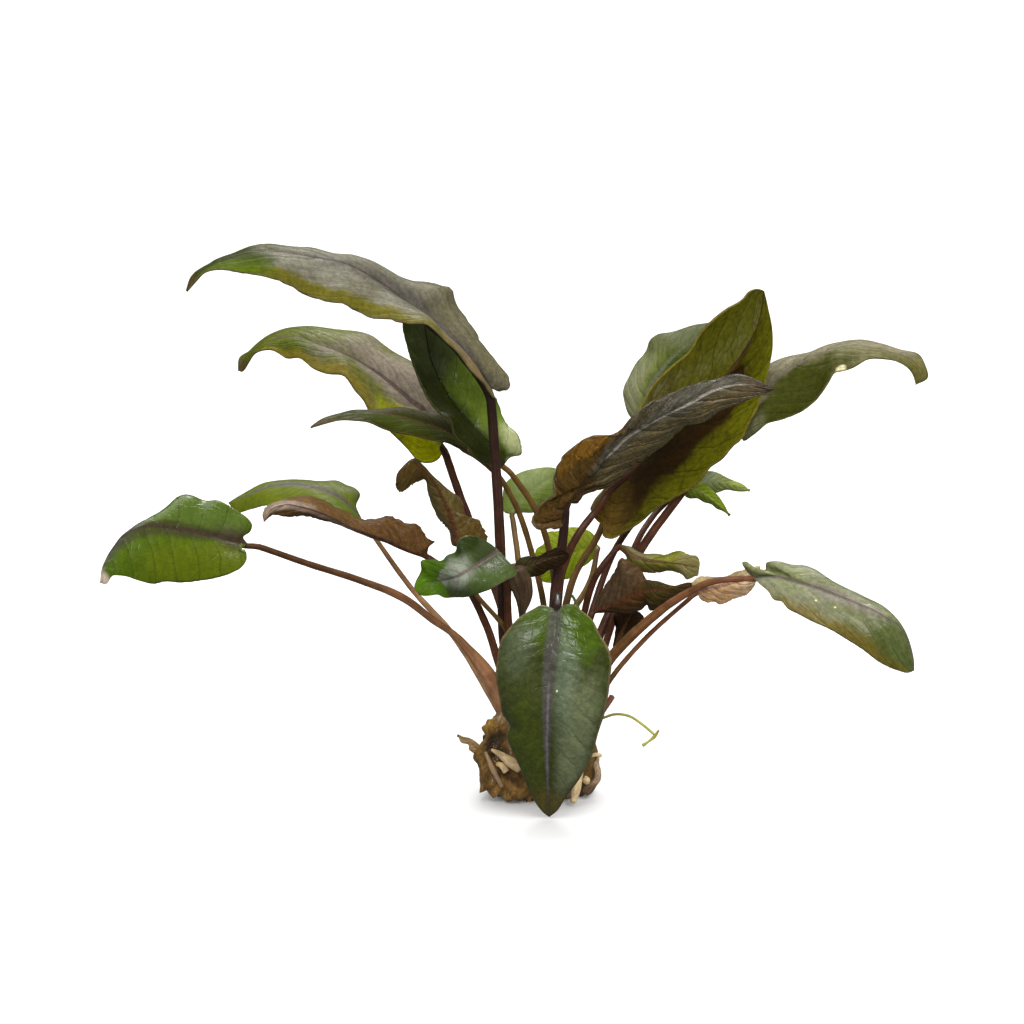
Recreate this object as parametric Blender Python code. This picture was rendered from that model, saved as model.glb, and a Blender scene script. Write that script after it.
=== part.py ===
# Cryptocoryne, an aquarium plant standing bare rooted on its trimmed crown.
# Every leaf is a stalk and a blade, and the crown carries cut roots, torn sheaths and a thin runner.
import math

import bmesh
import bpy
import numpy as np

MM = 0.001
BLADE_THICKNESS = 0.6
SHEATH_THICKNESS = 0.6
SMOOTH_BELOW_DEGREES = 40.0
FINE_STATIONS = 121
LOBE_REACH = 0.32
BLADE_ROWS = 10
BLADE_COLUMNS = 3
STALK_SIDES = 6
CROWN_HEIGHT = 24.0
CROWN_RADIUS_X = 13.0
CROWN_RADIUS_Y = 11.5
VIEWER = np.array((0.0, -1.0, 0.0))


def smooth_curve(points, parameters):
    # a curve through the given points, its parameter running along the chords from 0 to 1
    points = np.array(points, dtype=float)
    if points.ndim == 1:
        points = points[:, None]
    count = len(points)
    if points.shape[1] == 1:
        steps = np.ones(count - 1)
    else:
        steps = np.linalg.norm(np.diff(points, axis=0), axis=1)
    knots = np.concatenate(([0.0], np.cumsum(steps)))
    slopes = np.zeros_like(points)
    for i in range(count):
        if i == 0:
            slopes[i] = (points[1] - points[0]) / steps[0]
        elif i == count - 1:
            slopes[i] = (points[-1] - points[-2]) / steps[-1]
        else:
            before = (points[i] - points[i - 1]) / steps[i - 1]
            after = (points[i + 1] - points[i]) / steps[i]
            slopes[i] = (before * steps[i] + after * steps[i - 1]) / (steps[i] + steps[i - 1])
    if count > 2:
        slopes[0] = 1.5 * slopes[0] - 0.5 * slopes[1]
        slopes[-1] = 1.5 * slopes[-1] - 0.5 * slopes[-2]
    result = []
    for parameter in parameters:
        place = parameter * knots[-1]
        i = min(int(np.searchsorted(knots, place, side="right")) - 1, count - 2)
        i = max(i, 0)
        w = (place - knots[i]) / steps[i]
        h00 = 2 * w ** 3 - 3 * w ** 2 + 1
        h10 = w ** 3 - 2 * w ** 2 + w
        h01 = -2 * w ** 3 + 3 * w ** 2
        h11 = w ** 3 - w ** 2
        result.append(
            h00 * points[i] + h10 * steps[i] * slopes[i] + h01 * points[i + 1] + h11 * steps[i] * slopes[i + 1]
        )
    return np.array(result)


def even_curve(points, count):
    # the same curve with its points at even distances, and its length
    dense = smooth_curve(points, np.linspace(0.0, 1.0, 161))
    steps = np.linalg.norm(np.diff(dense, axis=0), axis=1)
    along = np.concatenate(([0.0], np.cumsum(steps)))
    wanted = np.linspace(0.0, along[-1], count)
    line = np.stack([np.interp(wanted, along, dense[:, k]) for k in range(3)], axis=1)
    return line, along[-1]


def unit(vector):
    return vector / np.linalg.norm(vector)


def tangents_of(line):
    return np.array([unit(t) for t in np.gradient(line, axis=0)])


def new_object(name, origin, vertices, faces, colour, roughness=0.5):
    # one piece, placed by its own origin and held by the plant's empty
    mesh = bpy.data.meshes.new(name)
    mesh.from_pydata([tuple((v - origin) * MM) for v in vertices], [], faces)
    work = bmesh.new()
    work.from_mesh(mesh)
    bmesh.ops.recalc_face_normals(work, faces=work.faces)
    bmesh.ops.triangulate(work, faces=work.faces)
    work.to_mesh(mesh)
    work.free()
    mesh.shade_smooth()
    mesh.set_sharp_from_angle(angle=math.radians(SMOOTH_BELOW_DEGREES))
    piece = bpy.data.objects.new(name, mesh)
    piece.location = tuple(origin * MM)
    piece.parent = plant
    bpy.context.scene.collection.objects.link(piece)
    material = bpy.data.materials.new(name)
    material.use_nodes = True
    shader = material.node_tree.nodes["Principled BSDF"]
    shader.inputs["Base Color"].default_value = (*colour, 1.0)
    shader.inputs["Roughness"].default_value = roughness
    mesh.materials.append(material)
    return piece


def blade(name, rib, width, right_lean, left_lean, right_bend=(0, 0, 0), left_bend=(0, 0, 0),
          right_swell=(1, 1, 1), left_swell=(1, 1, 1), lobe=(3.0, 3.0), taper=1.3, fullness=0.85,
          widest=(0.38, 0.38), ripple=0.0, waves=4.0, colour=(0.1, 0.25, 0.03)):
    # The two halves leave the rib at a lean: 0 faces the viewer flat, plus is away and minus toward.
    # A bend adds to the lean between the rib and the margin.
    line, length = even_curve(rib, FINE_STATIONS)
    along = tangents_of(line)

    def station(t):
        # a place on the rib, carried on straight behind its base
        part = min(max(t / length, 0.0), 1.0)
        at = part * (FINE_STATIONS - 1)
        i = min(int(at), FINE_STATIONS - 2)
        w = at - i
        place = line[i] * (1 - w) + line[i + 1] * w
        forward = unit(along[i] * (1 - w) + along[i + 1] * w)
        if t < 0:
            place = place + forward * t
        front = unit(VIEWER - forward * VIEWER.dot(forward))
        return place, forward, front, np.cross(forward, front), part

    def lean_at(values, part):
        return float(smooth_curve(values, [part])[0][0])

    def point(q, side, across):
        leans, bends = (right_lean, right_bend) if side > 0 else (left_lean, left_bend)
        swell = right_swell if side > 0 else left_swell
        which = 0 if side > 0 else 1
        rim_t = length * q ** taper - lobe[which] * math.sin(math.pi * min(q / LOBE_REACH, 1.0)) ** 2
        skew = math.log(0.5) / math.log(widest[which])
        rim_s = 0.5 * width * max(math.sin(math.pi * q ** skew), 0.0) ** fullness * lean_at(swell, q)
        rib_t = length * q
        t = rib_t + (rim_t - rib_t) * across
        s = rim_s * across
        place, forward, front, right, part = station(t)
        lean = math.radians(lean_at(leans, part))
        bend = math.radians(lean_at(bends, part))
        out = 0.0
        up = 0.0
        steps = 6
        for k in range(steps):
            angle = lean + bend * across * (k + 0.5) / steps
            out += math.cos(angle) * s / steps
            up += math.sin(angle) * s / steps
        spot = place + right * side * out - front * up
        shake = ripple * math.sin(2 * math.pi * (waves * q + 0.25 * side)) * across ** 2.5
        final = lean + bend * across
        normal = right * side * math.sin(final) + front * math.cos(final)
        return spot + normal * shake

    qs = []
    for k in range(BLADE_ROWS + 1):
        even = k / BLADE_ROWS
        qs.append(0.5 * even + 0.25 * (1 - math.cos(math.pi * even)))
    columns = 2 * BLADE_COLUMNS + 1
    grid = np.zeros((BLADE_ROWS + 1, columns, 3))
    for i, q in enumerate(qs):
        for j in range(columns):
            offset = j - BLADE_COLUMNS
            side = 1 if offset >= 0 else -1
            grid[i, j] = point(q, side, abs(offset) / BLADE_COLUMNS)
    normals = np.zeros_like(grid)
    for i in range(1, BLADE_ROWS):
        for j in range(columns):
            down = grid[i + 1, j] - grid[i - 1, j]
            over = grid[i, min(j + 1, columns - 1)] - grid[i, max(j - 1, 0)]
            normals[i, j] = unit(np.cross(over, down))
    middle = BLADE_COLUMNS
    normals[0, :] = normals[1, middle]
    normals[-1, :] = normals[-2, middle]
    vertices = []
    index = {}
    for level in (0, 1):
        sign = 1 if level == 0 else -1
        for i in range(BLADE_ROWS + 1):
            reach = np.linalg.norm(grid[i, 0] - grid[i, middle]) + np.linalg.norm(grid[i, -1] - grid[i, middle])
            half = 0.5 * BLADE_THICKNESS * min(0.35 + 0.08 * reach, 1.0)
            for j in range(columns):
                if i in (0, BLADE_ROWS) and j != middle:
                    continue
                index[level, i, j] = len(vertices)
                vertices.append(grid[i, j] + normals[i, j] * half * sign)

    def at(level, i, j):
        return index[level, i, middle] if i in (0, BLADE_ROWS) else index[level, i, j]

    faces = []
    for level in (0, 1):
        for i in range(BLADE_ROWS):
            for j in range(columns - 1):
                ring = []
                for corner in (at(level, i, j), at(level, i + 1, j), at(level, i + 1, j + 1), at(level, i, j + 1)):
                    if corner not in ring:
                        ring.append(corner)
                if len(ring) == 4:
                    if level == 0:
                        faces.append((ring[0], ring[1], ring[2]))
                        faces.append((ring[0], ring[2], ring[3]))
                    else:
                        faces.append((ring[2], ring[1], ring[0]))
                        faces.append((ring[3], ring[2], ring[0]))
                else:
                    faces.append(tuple(ring) if level == 0 else tuple(reversed(ring)))
    for i in range(BLADE_ROWS):
        for j in (0, columns - 1):
            ring = []
            for corner in (at(0, i, j), at(0, i + 1, j), at(1, i + 1, j), at(1, i, j)):
                if corner not in ring:
                    ring.append(corner)
            faces.append(tuple(ring) if j else tuple(reversed(ring)))
    return new_object(name, line[0], vertices, faces, colour)


def tube(name, points, thick_start, thick_end, rings, colour, sides=STALK_SIDES):
    # a round stem of changing thickness along a curve, closed at both ends
    line, length = even_curve(points, rings)
    along = tangents_of(line)
    first = unit(np.cross(along[0], (0.31, 0.95, 0.05)))
    vertices = []
    across = first
    for i in range(rings):
        across = unit(across - along[i] * across.dot(along[i]))
        other = np.cross(along[i], across)
        radius = 0.5 * (thick_start + (thick_end - thick_start) * i / (rings - 1))
        for k in range(sides):
            angle = 2 * math.pi * k / sides
            vertices.append(line[i] + radius * (math.cos(angle) * across + math.sin(angle) * other))
    faces = []
    for i in range(rings - 1):
        for k in range(sides):
            a = i * sides + k
            b = i * sides + (k + 1) % sides
            faces.append((a, b, b + sides, a + sides))
    faces.append(tuple(reversed(range(sides))))
    faces.append(tuple(range((rings - 1) * sides, rings * sides)))
    return new_object(name, line[0], vertices, faces, colour, 0.45)


def leaf(name, stalk, rib, width, right_lean, left_lean, thick=(2.4, 1.8), rings=8, clear=0.8,
         stalk_colour=(0.10, 0.05, 0.035), **shape):
    # the stalk stops a gap short of the blade, on the line on which it comes in
    back = unit(np.array(stalk[-1], dtype=float) - np.array(rib[0], dtype=float))
    end = np.array(rib[0], dtype=float) + back * clear
    tube(name + "_stalk", [*stalk, tuple(end)], thick[0], thick[1], rings, stalk_colour)
    blade(name + "_blade", rib, width, right_lean, left_lean, **shape)


for old in list(bpy.data.objects):
    bpy.data.objects.remove(old, do_unlink=True)
plant = bpy.data.objects.new("plant", None)
bpy.context.scene.collection.objects.link(plant)

# upper left leaf, long, arching over to the left
leaf("upper_left",
     stalk=[(-6.5, -3.5, 26.0), (-8.6, -5, 38.7), (-9.1, -7, 51.5), (-9.8, -8, 68.5), (-10.8, -8, 85.3)],
     rib=[(-12.4, -8, 99.7), (-22.0, -10, 112.0), (-31.0, -12, 120.2), (-42.0, -15, 126.5),
          (-56.0, -19, 132.0), (-68.3, -24, 134.2), (-77.3, -28, 131.0), (-81.5, -30, 125.8)],
     width=29.0, right_lean=(66, 66, 78, 90, 95), left_lean=(-85, -72, -50, -52),
     thick=(2.6, 2.1), lobe=(10.5, 3.0), widest=(0.3, 0.4), ripple=0.8,
     colour=(0.17, 0.17, 0.12), stalk_colour=(0.07, 0.04, 0.03))
# second leaf on the left, behind the first
leaf("left_grey",
     stalk=[(-6.5, 3.5, 26.0), (-7.2, 5, 36.6), (-13.3, 9, 55.6), (-18.1, 12, 67.4)],
     rib=[(-23.7, 15, 82.5), (-31.7, 16, 94.0), (-41.4, 16, 103.1), (-51.0, 18, 108.5), (-60.7, 20, 110.5),
          (-68.7, 22, 107.0), (-73.7, 23, 100.0)],
     width=24.0, right_lean=(35, 78, 105), left_lean=(-45, -45, -30), left_swell=(0.75, 0.85, 1.3),
     widest=(0.35, 0.3), ripple=0.6,
     colour=(0.16, 0.16, 0.08), stalk_colour=(0.12, 0.07, 0.04))
# narrow olive leaf seen nearly from its edge
leaf("left_narrow",
     stalk=[(-2.5, 3.5, 26.0), (1.3, 7, 41.3), (-1.6, 10, 56.0), (-5.3, 11, 67.8), (-9.6, 11, 75.4)],
     rib=[(-16.8, 9.5, 82.0), (-21.8, 5, 86.8), (-28.6, -1, 90.7), (-36.8, -8, 93.4), (-46.0, -13, 93.8),
          (-54.1, -16, 91.8)],
     width=16.0, right_lean=(72, 94, 98), left_lean=(-85, -62, -75), left_swell=(0.7, 1, 1),
     thick=(2.2, 1.6), lobe=(1.5, 1.5),
     colour=(0.12, 0.12, 0.05), stalk_colour=(0.22, 0.13, 0.05))
# deep green leaf hanging behind the upper left one
leaf("left_deep_green",
     stalk=[(0.0, -0.5, 26.0), (3.9, 2, 42.2), (1.7, 3, 56.8), (-1.4, 3, 70.4), (-4.8, 1, 77.1)],
     rib=[(-8.6, 0, 80.7), (-13.9, 1, 88.0), (-19.6, 2, 95.4), (-24.7, 3, 105.4), (-27.5, 4, 114.9),
          (-29.9, 5, 122.0)],
     width=20.0, right_lean=(40, 38, 45), left_lean=(-50, -55, -30), lobe=(3.0, 1.5),
     colour=(0.06, 0.08, 0.02), stalk_colour=(0.1, 0.06, 0.03))
# vivid green leaf far to the left
leaf("far_left_green",
     stalk=[(-9.0, -5.0, 22.5), (-16.2, -9, 35.3), (-28.3, -13, 47.4), (-46.8, -18, 57.1)],
     rib=[(-69.1, -22, 65.0), (-76.3, -25, 67.5), (-85.0, -29, 69.9), (-92.6, -34, 70.8), (-98.7, -39, 67.2),
          (-101.5, -42, 60.1)],
     width=25.0, right_lean=(40, 55, 75), left_lean=(-30, -20, -25), right_swell=(1.35, 0.58, 0.3),
     left_swell=(0.9, 1.0, 1.7), lobe=(4.0, 2.0), widest=(0.32, 0.42),
     colour=(0.1, 0.15, 0.03), stalk_colour=(0.2, 0.14, 0.09))
# light green leaf behind it
leaf("left_light_green",
     stalk=[(-10.0, -0.5, 22.0), (-21.2, 6, 37.8), (-31.1, 10, 48.2), (-40.2, 15, 59.9)],
     rib=[(-43.4, 16, 64.2), (-50.0, 18, 68.3), (-58.7, 20, 71.2), (-69.1, 22, 70.5), (-76.7, 24, 67.0),
          (-80.8, 25, 62.6)],
     width=19.0, right_lean=(55, 94, 96), left_lean=(-70, -65, -60), left_swell=(0.6, 1, 1), thick=(2.0, 1.4),
     lobe=(1.5, 1.5),
     colour=(0.16, 0.19, 0.07), stalk_colour=(0.19, 0.13, 0.08))
# brown leaf folded along its rib
leaf("left_brown",
     stalk=[(-6.5, -7.0, 23.0), (-9.6, -8, 32.5), (-13.4, -8, 44.2), (-18.0, -6, 52.3)],
     rib=[(-26.1, -3, 58.1), (-34.0, -5, 61.6), (-41.0, -8, 65.1), (-49.9, -11, 69.3), (-57.3, -14, 72.4),
          (-62.3, -16, 72.8), (-64.9, -17, 69.8)],
     width=18.0, right_lean=(30, 44, 44), left_lean=(78, 82, 80), right_swell=(1.05, 0.65, 0.8), thick=(2.0, 1.5),
     lobe=(1.5, 1.5),
     colour=(0.2, 0.13, 0.08), stalk_colour=(0.17, 0.1, 0.06))
# small olive leaf with a curled tip
leaf("left_small_olive",
     stalk=[(-6.5, 0.0, 24.0), (-8.9, -2, 35.6), (-14.4, 0, 47.5)],
     rib=[(-20.0, 2, 60.3), (-21.4, 3, 67.0), (-23.3, 3, 73.4), (-26.4, 1, 79.1), (-30.1, -3, 80.7),
          (-32.7, -6, 78.8), (-33.6, -7, 75.1)],
     width=13.0, right_lean=(20, 60, 80), left_lean=(40, 40, -20), thick=(2.0, 1.5), lobe=(0.5, 0.5),
     colour=(0.09, 0.06, 0.02), stalk_colour=(0.12, 0.07, 0.04))
# glossy green leaf in front of the stalks
leaf("front_left_glossy",
     stalk=[(-3.0, -8.0, 23.0), (-6.7, -11, 37.5), (-7.7, -12, 46.2), (-7.9, -13, 54.9)],
     rib=[(-9.5, -18, 61.6), (-14.2, -24, 61.1), (-20.0, -29, 59.9), (-24.8, -31, 57.9), (-28.8, -32, 55.3)],
     width=18.0, right_lean=(20, 30, 30), left_lean=(-20, -20, -20), right_swell=(1.0, 1.0, 0.6), thick=(2.0, 1.6),
     clear=1.6,
     colour=(0.12, 0.16, 0.06), stalk_colour=(0.16, 0.09, 0.04))
# small dark brown leaf beside it
leaf("front_small_brown",
     stalk=[(-3.0, -4.5, 25.0), (-3.6, -8, 36.0), (-4.8, -12, 49.0), (-5.2, -13, 54.0)],
     rib=[(-3.4, -13.5, 57.4), (1.1, -13.5, 59.2), (6.7, -13, 61.7)],
     width=7.5, right_lean=(20, 20, 20), left_lean=(20, 20, 20), thick=(2.0, 1.8), lobe=(0.5, 0.5),
     colour=(0.05, 0.025, 0.012), stalk_colour=(0.08, 0.04, 0.02))
# pale green leaf behind the stalks
leaf("back_pale_green",
     stalk=[(-4.0, 7.5, 23.0), (-4.0, 16, 36.0), (-5.0, 29, 50.0)],
     rib=[(-6.5, 42, 61.3), (-2.2, 44, 65.6), (4.4, 46, 67.0), (10.5, 48, 68.2)],
     width=14.0, right_lean=(10, 10, 10), left_lean=(10, 10, 10), thick=(1.8, 1.4),
     colour=(0.17, 0.2, 0.06), stalk_colour=(0.15, 0.12, 0.05))
# bright green leaf behind the stalks on the right
leaf("back_bright_green",
     stalk=[(0.0, 7.5, 23.0), (5.0, 15, 36.0), (13.0, 26, 48.0)],
     rib=[(15.2, 33, 55.3), (8.2, 34, 54.0), (1.5, 35, 50.6)],
     width=15.0, right_lean=(-10, 10, 10), left_lean=(-10, 10, 10), thick=(1.8, 1.4), lobe=(0.3, 0.3), clear=1.6,
     colour=(0.15, 0.19, 0.03), stalk_colour=(0.12, 0.11, 0.04))
# big leaf rising to the right, seen from below
leaf("upper_right",
     stalk=[(1.0, -4.5, 25.5), (4.1, -2, 45.4), (5.1, -1, 55.0), (7.2, 0, 63.4)],
     rib=[(15.2, 2, 70.8), (24.1, 5, 79.6), (36.2, 9, 90.0), (46.8, 14, 100.7), (52.3, 18, 110.0),
          (54.6, 22, 119.7)],
     width=35.0, right_lean=(30, 46, 40, 32, 35), left_lean=(30, 15, 0), right_swell=(0.85, 1.1, 1.1),
     left_swell=(0.6, 0.95, 1.8), lobe=(12.0, 2.0), thick=(2.6, 2.0),
     colour=(0.09, 0.08, 0.02), stalk_colour=(0.16, 0.07, 0.04))
# dark quilted leaf in front of it
leaf("right_dark",
     stalk=[(4.5, -7.5, 24.5), (3.1, -9, 43.2), (3.8, -8, 53.9), (5.4, -7, 63.5)],
     rib=[(8.7, -7, 73.1), (14.1, -9, 81.9), (21.2, -11, 88.7), (29.3, -13, 94.7), (38.6, -15, 99.8),
          (46.6, -17, 102.4), (54.3, -18, 101.1)],
     width=23.0, right_lean=(45, 50, 55), left_lean=(66, 66, 78, 80), lobe=(1.0, 15.0), thick=(2.6, 2.1),
     widest=(0.3, 0.42),
     colour=(0.075, 0.055, 0.018), stalk_colour=(0.05, 0.03, 0.02))
# grey green leaf behind the two
leaf("back_grey_green",
     stalk=[(4.0, 7.0, 24.0), (5.7, 9, 40.7), (8.2, 13, 50.0), (14.9, 20, 60.7), (20.5, 29, 76.9)],
     rib=[(23.0, 33, 87.6), (28.8, 36, 97.2), (36.3, 39, 105.5), (45.6, 42, 112.2)],
     width=18.0, right_lean=(0, 0, 0), left_lean=(52, 56, 65), thick=(2.0, 1.5), lobe=(1.0, 1.0),
     colour=(0.18, 0.2, 0.1), stalk_colour=(0.14, 0.09, 0.05))
# long leaf arching over far to the right
leaf("far_right_arching",
     stalk=[(8.0, 4.0, 24.0), (14.2, 7, 36.4), (24.8, 15, 57.0), (34.2, 21, 69.0), (42.5, 25, 79.3)],
     rib=[(48.2, 26, 85.4), (56.0, 27, 96.4), (64.1, 28, 102.0), (73.5, 29, 105.3), (83.8, 29, 105.6),
          (91.6, 28, 102.0), (93.8, 27, 96.4)],
     width=24.0, right_lean=(-40, -45, -60), left_lean=(62, 98, 98, 30), right_swell=(0.62, 1, 1.1), thick=(2.4, 1.8),
     widest=(0.33, 0.33),
     colour=(0.17, 0.17, 0.08), stalk_colour=(0.14, 0.07, 0.04))
# small green leaf on the right
leaf("right_small_upper",
     stalk=[(7.5, 7.5, 22.5), (13.0, 14, 42.0), (20.0, 22, 58.0), (29.0, 30, 66.5)],
     rib=[(36.5, 34, 68.5), (42.0, 33, 70.5), (47.0, 31, 69.5), (52.1, 29, 68.6)],
     width=10.0, right_lean=(50, 50, 50), left_lean=(0, 0, 0), thick=(1.8, 1.4), lobe=(0.5, 0.5),
     colour=(0.28, 0.32, 0.13), stalk_colour=(0.06, 0.04, 0.02))
# its small neighbour pointing down
leaf("right_small_lower",
     stalk=[(11.0, 0.0, 22.0), (18.5, 5, 44.0), (22.5, 9, 57.5), (28.0, 18, 65.0)],
     rib=[(35.0, 27, 67.6), (39.5, 26, 67.2), (43.3, 25, 65.7), (46.8, 24, 63.4)],
     width=8.0, right_lean=(60, 60, 60), left_lean=(0, 0, 0), thick=(1.8, 1.4), lobe=(0.5, 0.5),
     colour=(0.15, 0.2, 0.04), stalk_colour=(0.06, 0.04, 0.02))
# crumpled leaf on the right, its green upper part
leaf("right_crumpled_green",
     stalk=[(6.0, -0.5, 25.0), (10.0, -2, 42.0), (13.5, -3, 54.0)],
     rib=[(18.7, -2, 62.3), (25.1, -4, 58.6), (32.2, -6, 57.6), (37.9, -8, 56.4)],
     width=11.0, right_lean=(40, 40, 10), left_lean=(60, 62, 50), thick=(2.0, 1.5), lobe=(0.2, 0.2), clear=1.4,
     widest=(0.5, 0.6),
     colour=(0.14, 0.13, 0.03), stalk_colour=(0.06, 0.03, 0.015))
# its brown neighbour
leaf("right_crumpled_brown",
     stalk=[(5.0, -4.0, 25.0), (9.5, -6, 34.0)],
     rib=[(15.5, -8, 44.7), (23.9, -12, 51.3), (30.7, -14, 53.2), (37.1, -14, 54.1)],
     width=17.0, right_lean=(40, 40, 40), left_lean=(10, 10, 10), thick=(2.0, 1.5), lobe=(1.0, 1.0),
     colour=(0.07, 0.04, 0.018), stalk_colour=(0.06, 0.03, 0.015))
# far right leaf bending down
leaf("far_right_low",
     stalk=[(8.5, -6.5, 23.0), (15.6, -8, 33.2), (23.7, -13, 43.3), (32.7, -18, 51.6), (40.2, -22, 56.2)],
     rib=[(48.5, -24, 58.7), (54.7, -26, 58.2), (60.4, -29, 57.3), (71.0, -33, 53.6), (80.2, -37, 49.9),
          (84.7, -39, 44.7), (86.1, -40, 39.2)],
     width=20.0, right_lean=(-40, -30, -10), left_lean=(72, 80, 75), right_swell=(0.55, 0.95, 1.5),
     thick=(2.6, 2.0), lobe=(2.0, 2.0), widest=(0.45, 0.33),
     colour=(0.18, 0.19, 0.1), stalk_colour=(0.15, 0.08, 0.045))
# folded pinkish brown leaf behind its stalk
leaf("right_folded_brown",
     stalk=[(11.5, -3.5, 22.0), (18.0, -7, 31.0), (25.0, -10, 40.0)],
     rib=[(36.0, -14, 51.7), (43.6, -16, 54.5), (51.1, -17, 56.4)],
     width=9.0, right_lean=(10, 10, 10), left_lean=(60, 60, 60), thick=(1.8, 1.4), lobe=(0.5, 0.5), widest=(0.5, 0.5),
     colour=(0.3, 0.21, 0.13), stalk_colour=(0.18, 0.12, 0.08))
# front leaf hanging down to the floor
leaf("front",
     stalk=[(1.0, -8.5, 22.0), (1.5, -12, 34.0), (3.0, -22, 48.0), (4.0, -33, 55.0)],
     rib=[(3.0, -39.5, 54.0), (2.4, -42, 49.5), (1.6, -43, 41.3), (1.6, -39.5, 29.3), (1.9, -34.5, 16.2),
          (2.2, -26.5, 0.9)],
     width=30.0, right_lean=(35, 35, 25), left_lean=(20, 15, 15), thick=(2.4, 1.9), lobe=(2.0, 2.0),
     taper=1.2, widest=(0.33, 0.4),
     colour=(0.08, 0.095, 0.035), stalk_colour=(0.08, 0.05, 0.03))


def crown_radius(angle, height):
    # the trimmed rhizome swells low down and narrows under the stalks
    swell = smooth_curve((0.90, 1.0, 1.03, 0.98, 0.92, 0.84, 0.40), [height / CROWN_HEIGHT])[0][0]
    lump = 1 + 0.05 * math.sin(3 * angle + 0.3 * height) + 0.03 * math.cos(5 * angle - 0.5 * height)
    oval = math.hypot(CROWN_RADIUS_X * math.cos(angle), CROWN_RADIUS_Y * math.sin(angle))
    return oval * swell * lump


def crown_point(degrees, height, out=0.0):
    angle = math.radians(degrees)
    reach = crown_radius(angle, height) + out
    return np.array((reach * math.cos(angle), reach * math.sin(angle), height))


def crown():
    # cut off flat below, this is what the plant rests on
    levels = (0.0, 2.5, 6.0, 10.0, 14.0, 18.0, 21.0, 23.0, CROWN_HEIGHT)
    sides = 20
    vertices = []
    for height in levels:
        for k in range(sides):
            vertices.append(crown_point(360 * k / sides, height))
    faces = []
    for i in range(len(levels) - 1):
        for k in range(sides):
            a = i * sides + k
            b = i * sides + (k + 1) % sides
            faces.append((a, b, b + sides, a + sides))
    faces.append(tuple(reversed(range(sides))))
    faces.append(tuple(range((len(levels) - 1) * sides, len(levels) * sides)))
    new_object("crown", np.zeros(3), vertices, faces, (0.12, 0.06, 0.03), 0.8)


def root(name, degrees, height, path, thick=(2.0, 1.6), rings=5, stand=0.8, colour=(0.55, 0.42, 0.28)):
    # a cut root leaving the crown at an angle around it and a height
    tube(name, [crown_point(degrees, height, stand), *path], thick[0], thick[1], rings, colour)


def sheath(name, first, last, low, high, stand):
    # a torn sheath beside the crown: its lower and upper edge and how far it stands off, around the crown
    columns = len(low)
    rows = 4
    vertices = []
    for layer in (0, 1):
        for j in range(columns):
            degrees = first + (last - first) * j / (columns - 1)
            for i in range(rows):
                part = i / (rows - 1)
                height = low[j] + (high[j] - low[j]) * part
                vertices.append(crown_point(degrees, height, stand[j] + 0.5 * part + SHEATH_THICKNESS * layer))
    size = columns * rows
    faces = []
    for j in range(columns - 1):
        for i in range(rows - 1):
            a = j * rows + i
            ring = (a, a + 1, a + rows + 1, a + rows)
            faces.append(ring)
            faces.append(tuple(v + size for v in reversed(ring)))
    for j in range(columns - 1):
        for i in (0, rows - 1):
            a = j * rows + i
            faces.append((a, a + rows, a + rows + size, a + size))
    for i in range(rows - 1):
        for j in (0, columns - 1):
            a = j * rows + i
            faces.append((a, a + 1, a + 1 + size, a + size))
    new_object(name, vertices[0], vertices, faces, (0.10, 0.06, 0.035), 0.8)


crown()
sheath("sheath_left", 148, 216, (3.0, 1.2, 0.9, 0.8, 1.0, 2.5), (11.0, 14.5, 13.0, 17.0, 15.5, 12.0),
       (0.8, 1.4, 1.8, 1.9, 1.4, 0.8))
sheath("sheath_right", -34, 20, (3.5, 1.2, 1.0, 3.0), (8.0, 10.5, 9.0, 8.0), (0.8, 1.1, 0.9, 0.6))
root("root_far_left", 207, 12.5, [(-16.5, -9.5, 14.3), (-19.9, -11, 16.5)], thick=(2.2, 1.4), stand=3.6)
root("root_front_upper", 228, 12.5, [(-8.4, -13.5, 12.4), (-4.8, -15.5, 10.0)], thick=(2.2, 2.0))
root("root_front_thin", 229, 8.4, [(-10.0, -12.5, 6.8), (-9.4, -13.5, 4.9)], thick=(1.3, 1.1))
root("root_front_stub", 243, 8.2, [(-7.0, -14.5, 8.0)], thick=(1.9, 1.6), rings=3)
root("root_front_low", 297, 6.0, [(8.0, -14, 3.6), (7.6, -16, 1.6)], thick=(1.9, 1.6))
root("root_right_stub", 314, 5.0, [(11.0, -12.5, 4.9)], thick=(2.2, 1.9), rings=3)
root("cut_stalk", -14, 17.0, [(16.2, -4, 22.3), (17.8, -4, 25.6)], thick=(2.2, 2.6), colour=(0.2, 0.06, 0.04))
root("runner", 2, 16.5, [(15.5, -1, 18.6), (18.4, -2, 19.6), (21.1, -3, 19.6), (24.0, -4, 18.1), (27.0, -5, 15.9)],
     thick=(0.9, 0.7), rings=9, stand=0.6, colour=(0.3, 0.33, 0.06))
tube("runner_tip", [(28.8, -5, 17.4), (28.2, -5, 15.4), (25.8, -5, 13.4), (24.4, -5, 12.5)], 0.6, 0.9, 6,
     (0.3, 0.33, 0.06))
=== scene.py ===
# Cryptocoryne, an aquarium plant lifted out of its pot, standing bare rooted on its trimmed crown.
import math

import bmesh
import bpy
import numpy as np
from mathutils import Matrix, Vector, noise


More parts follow.
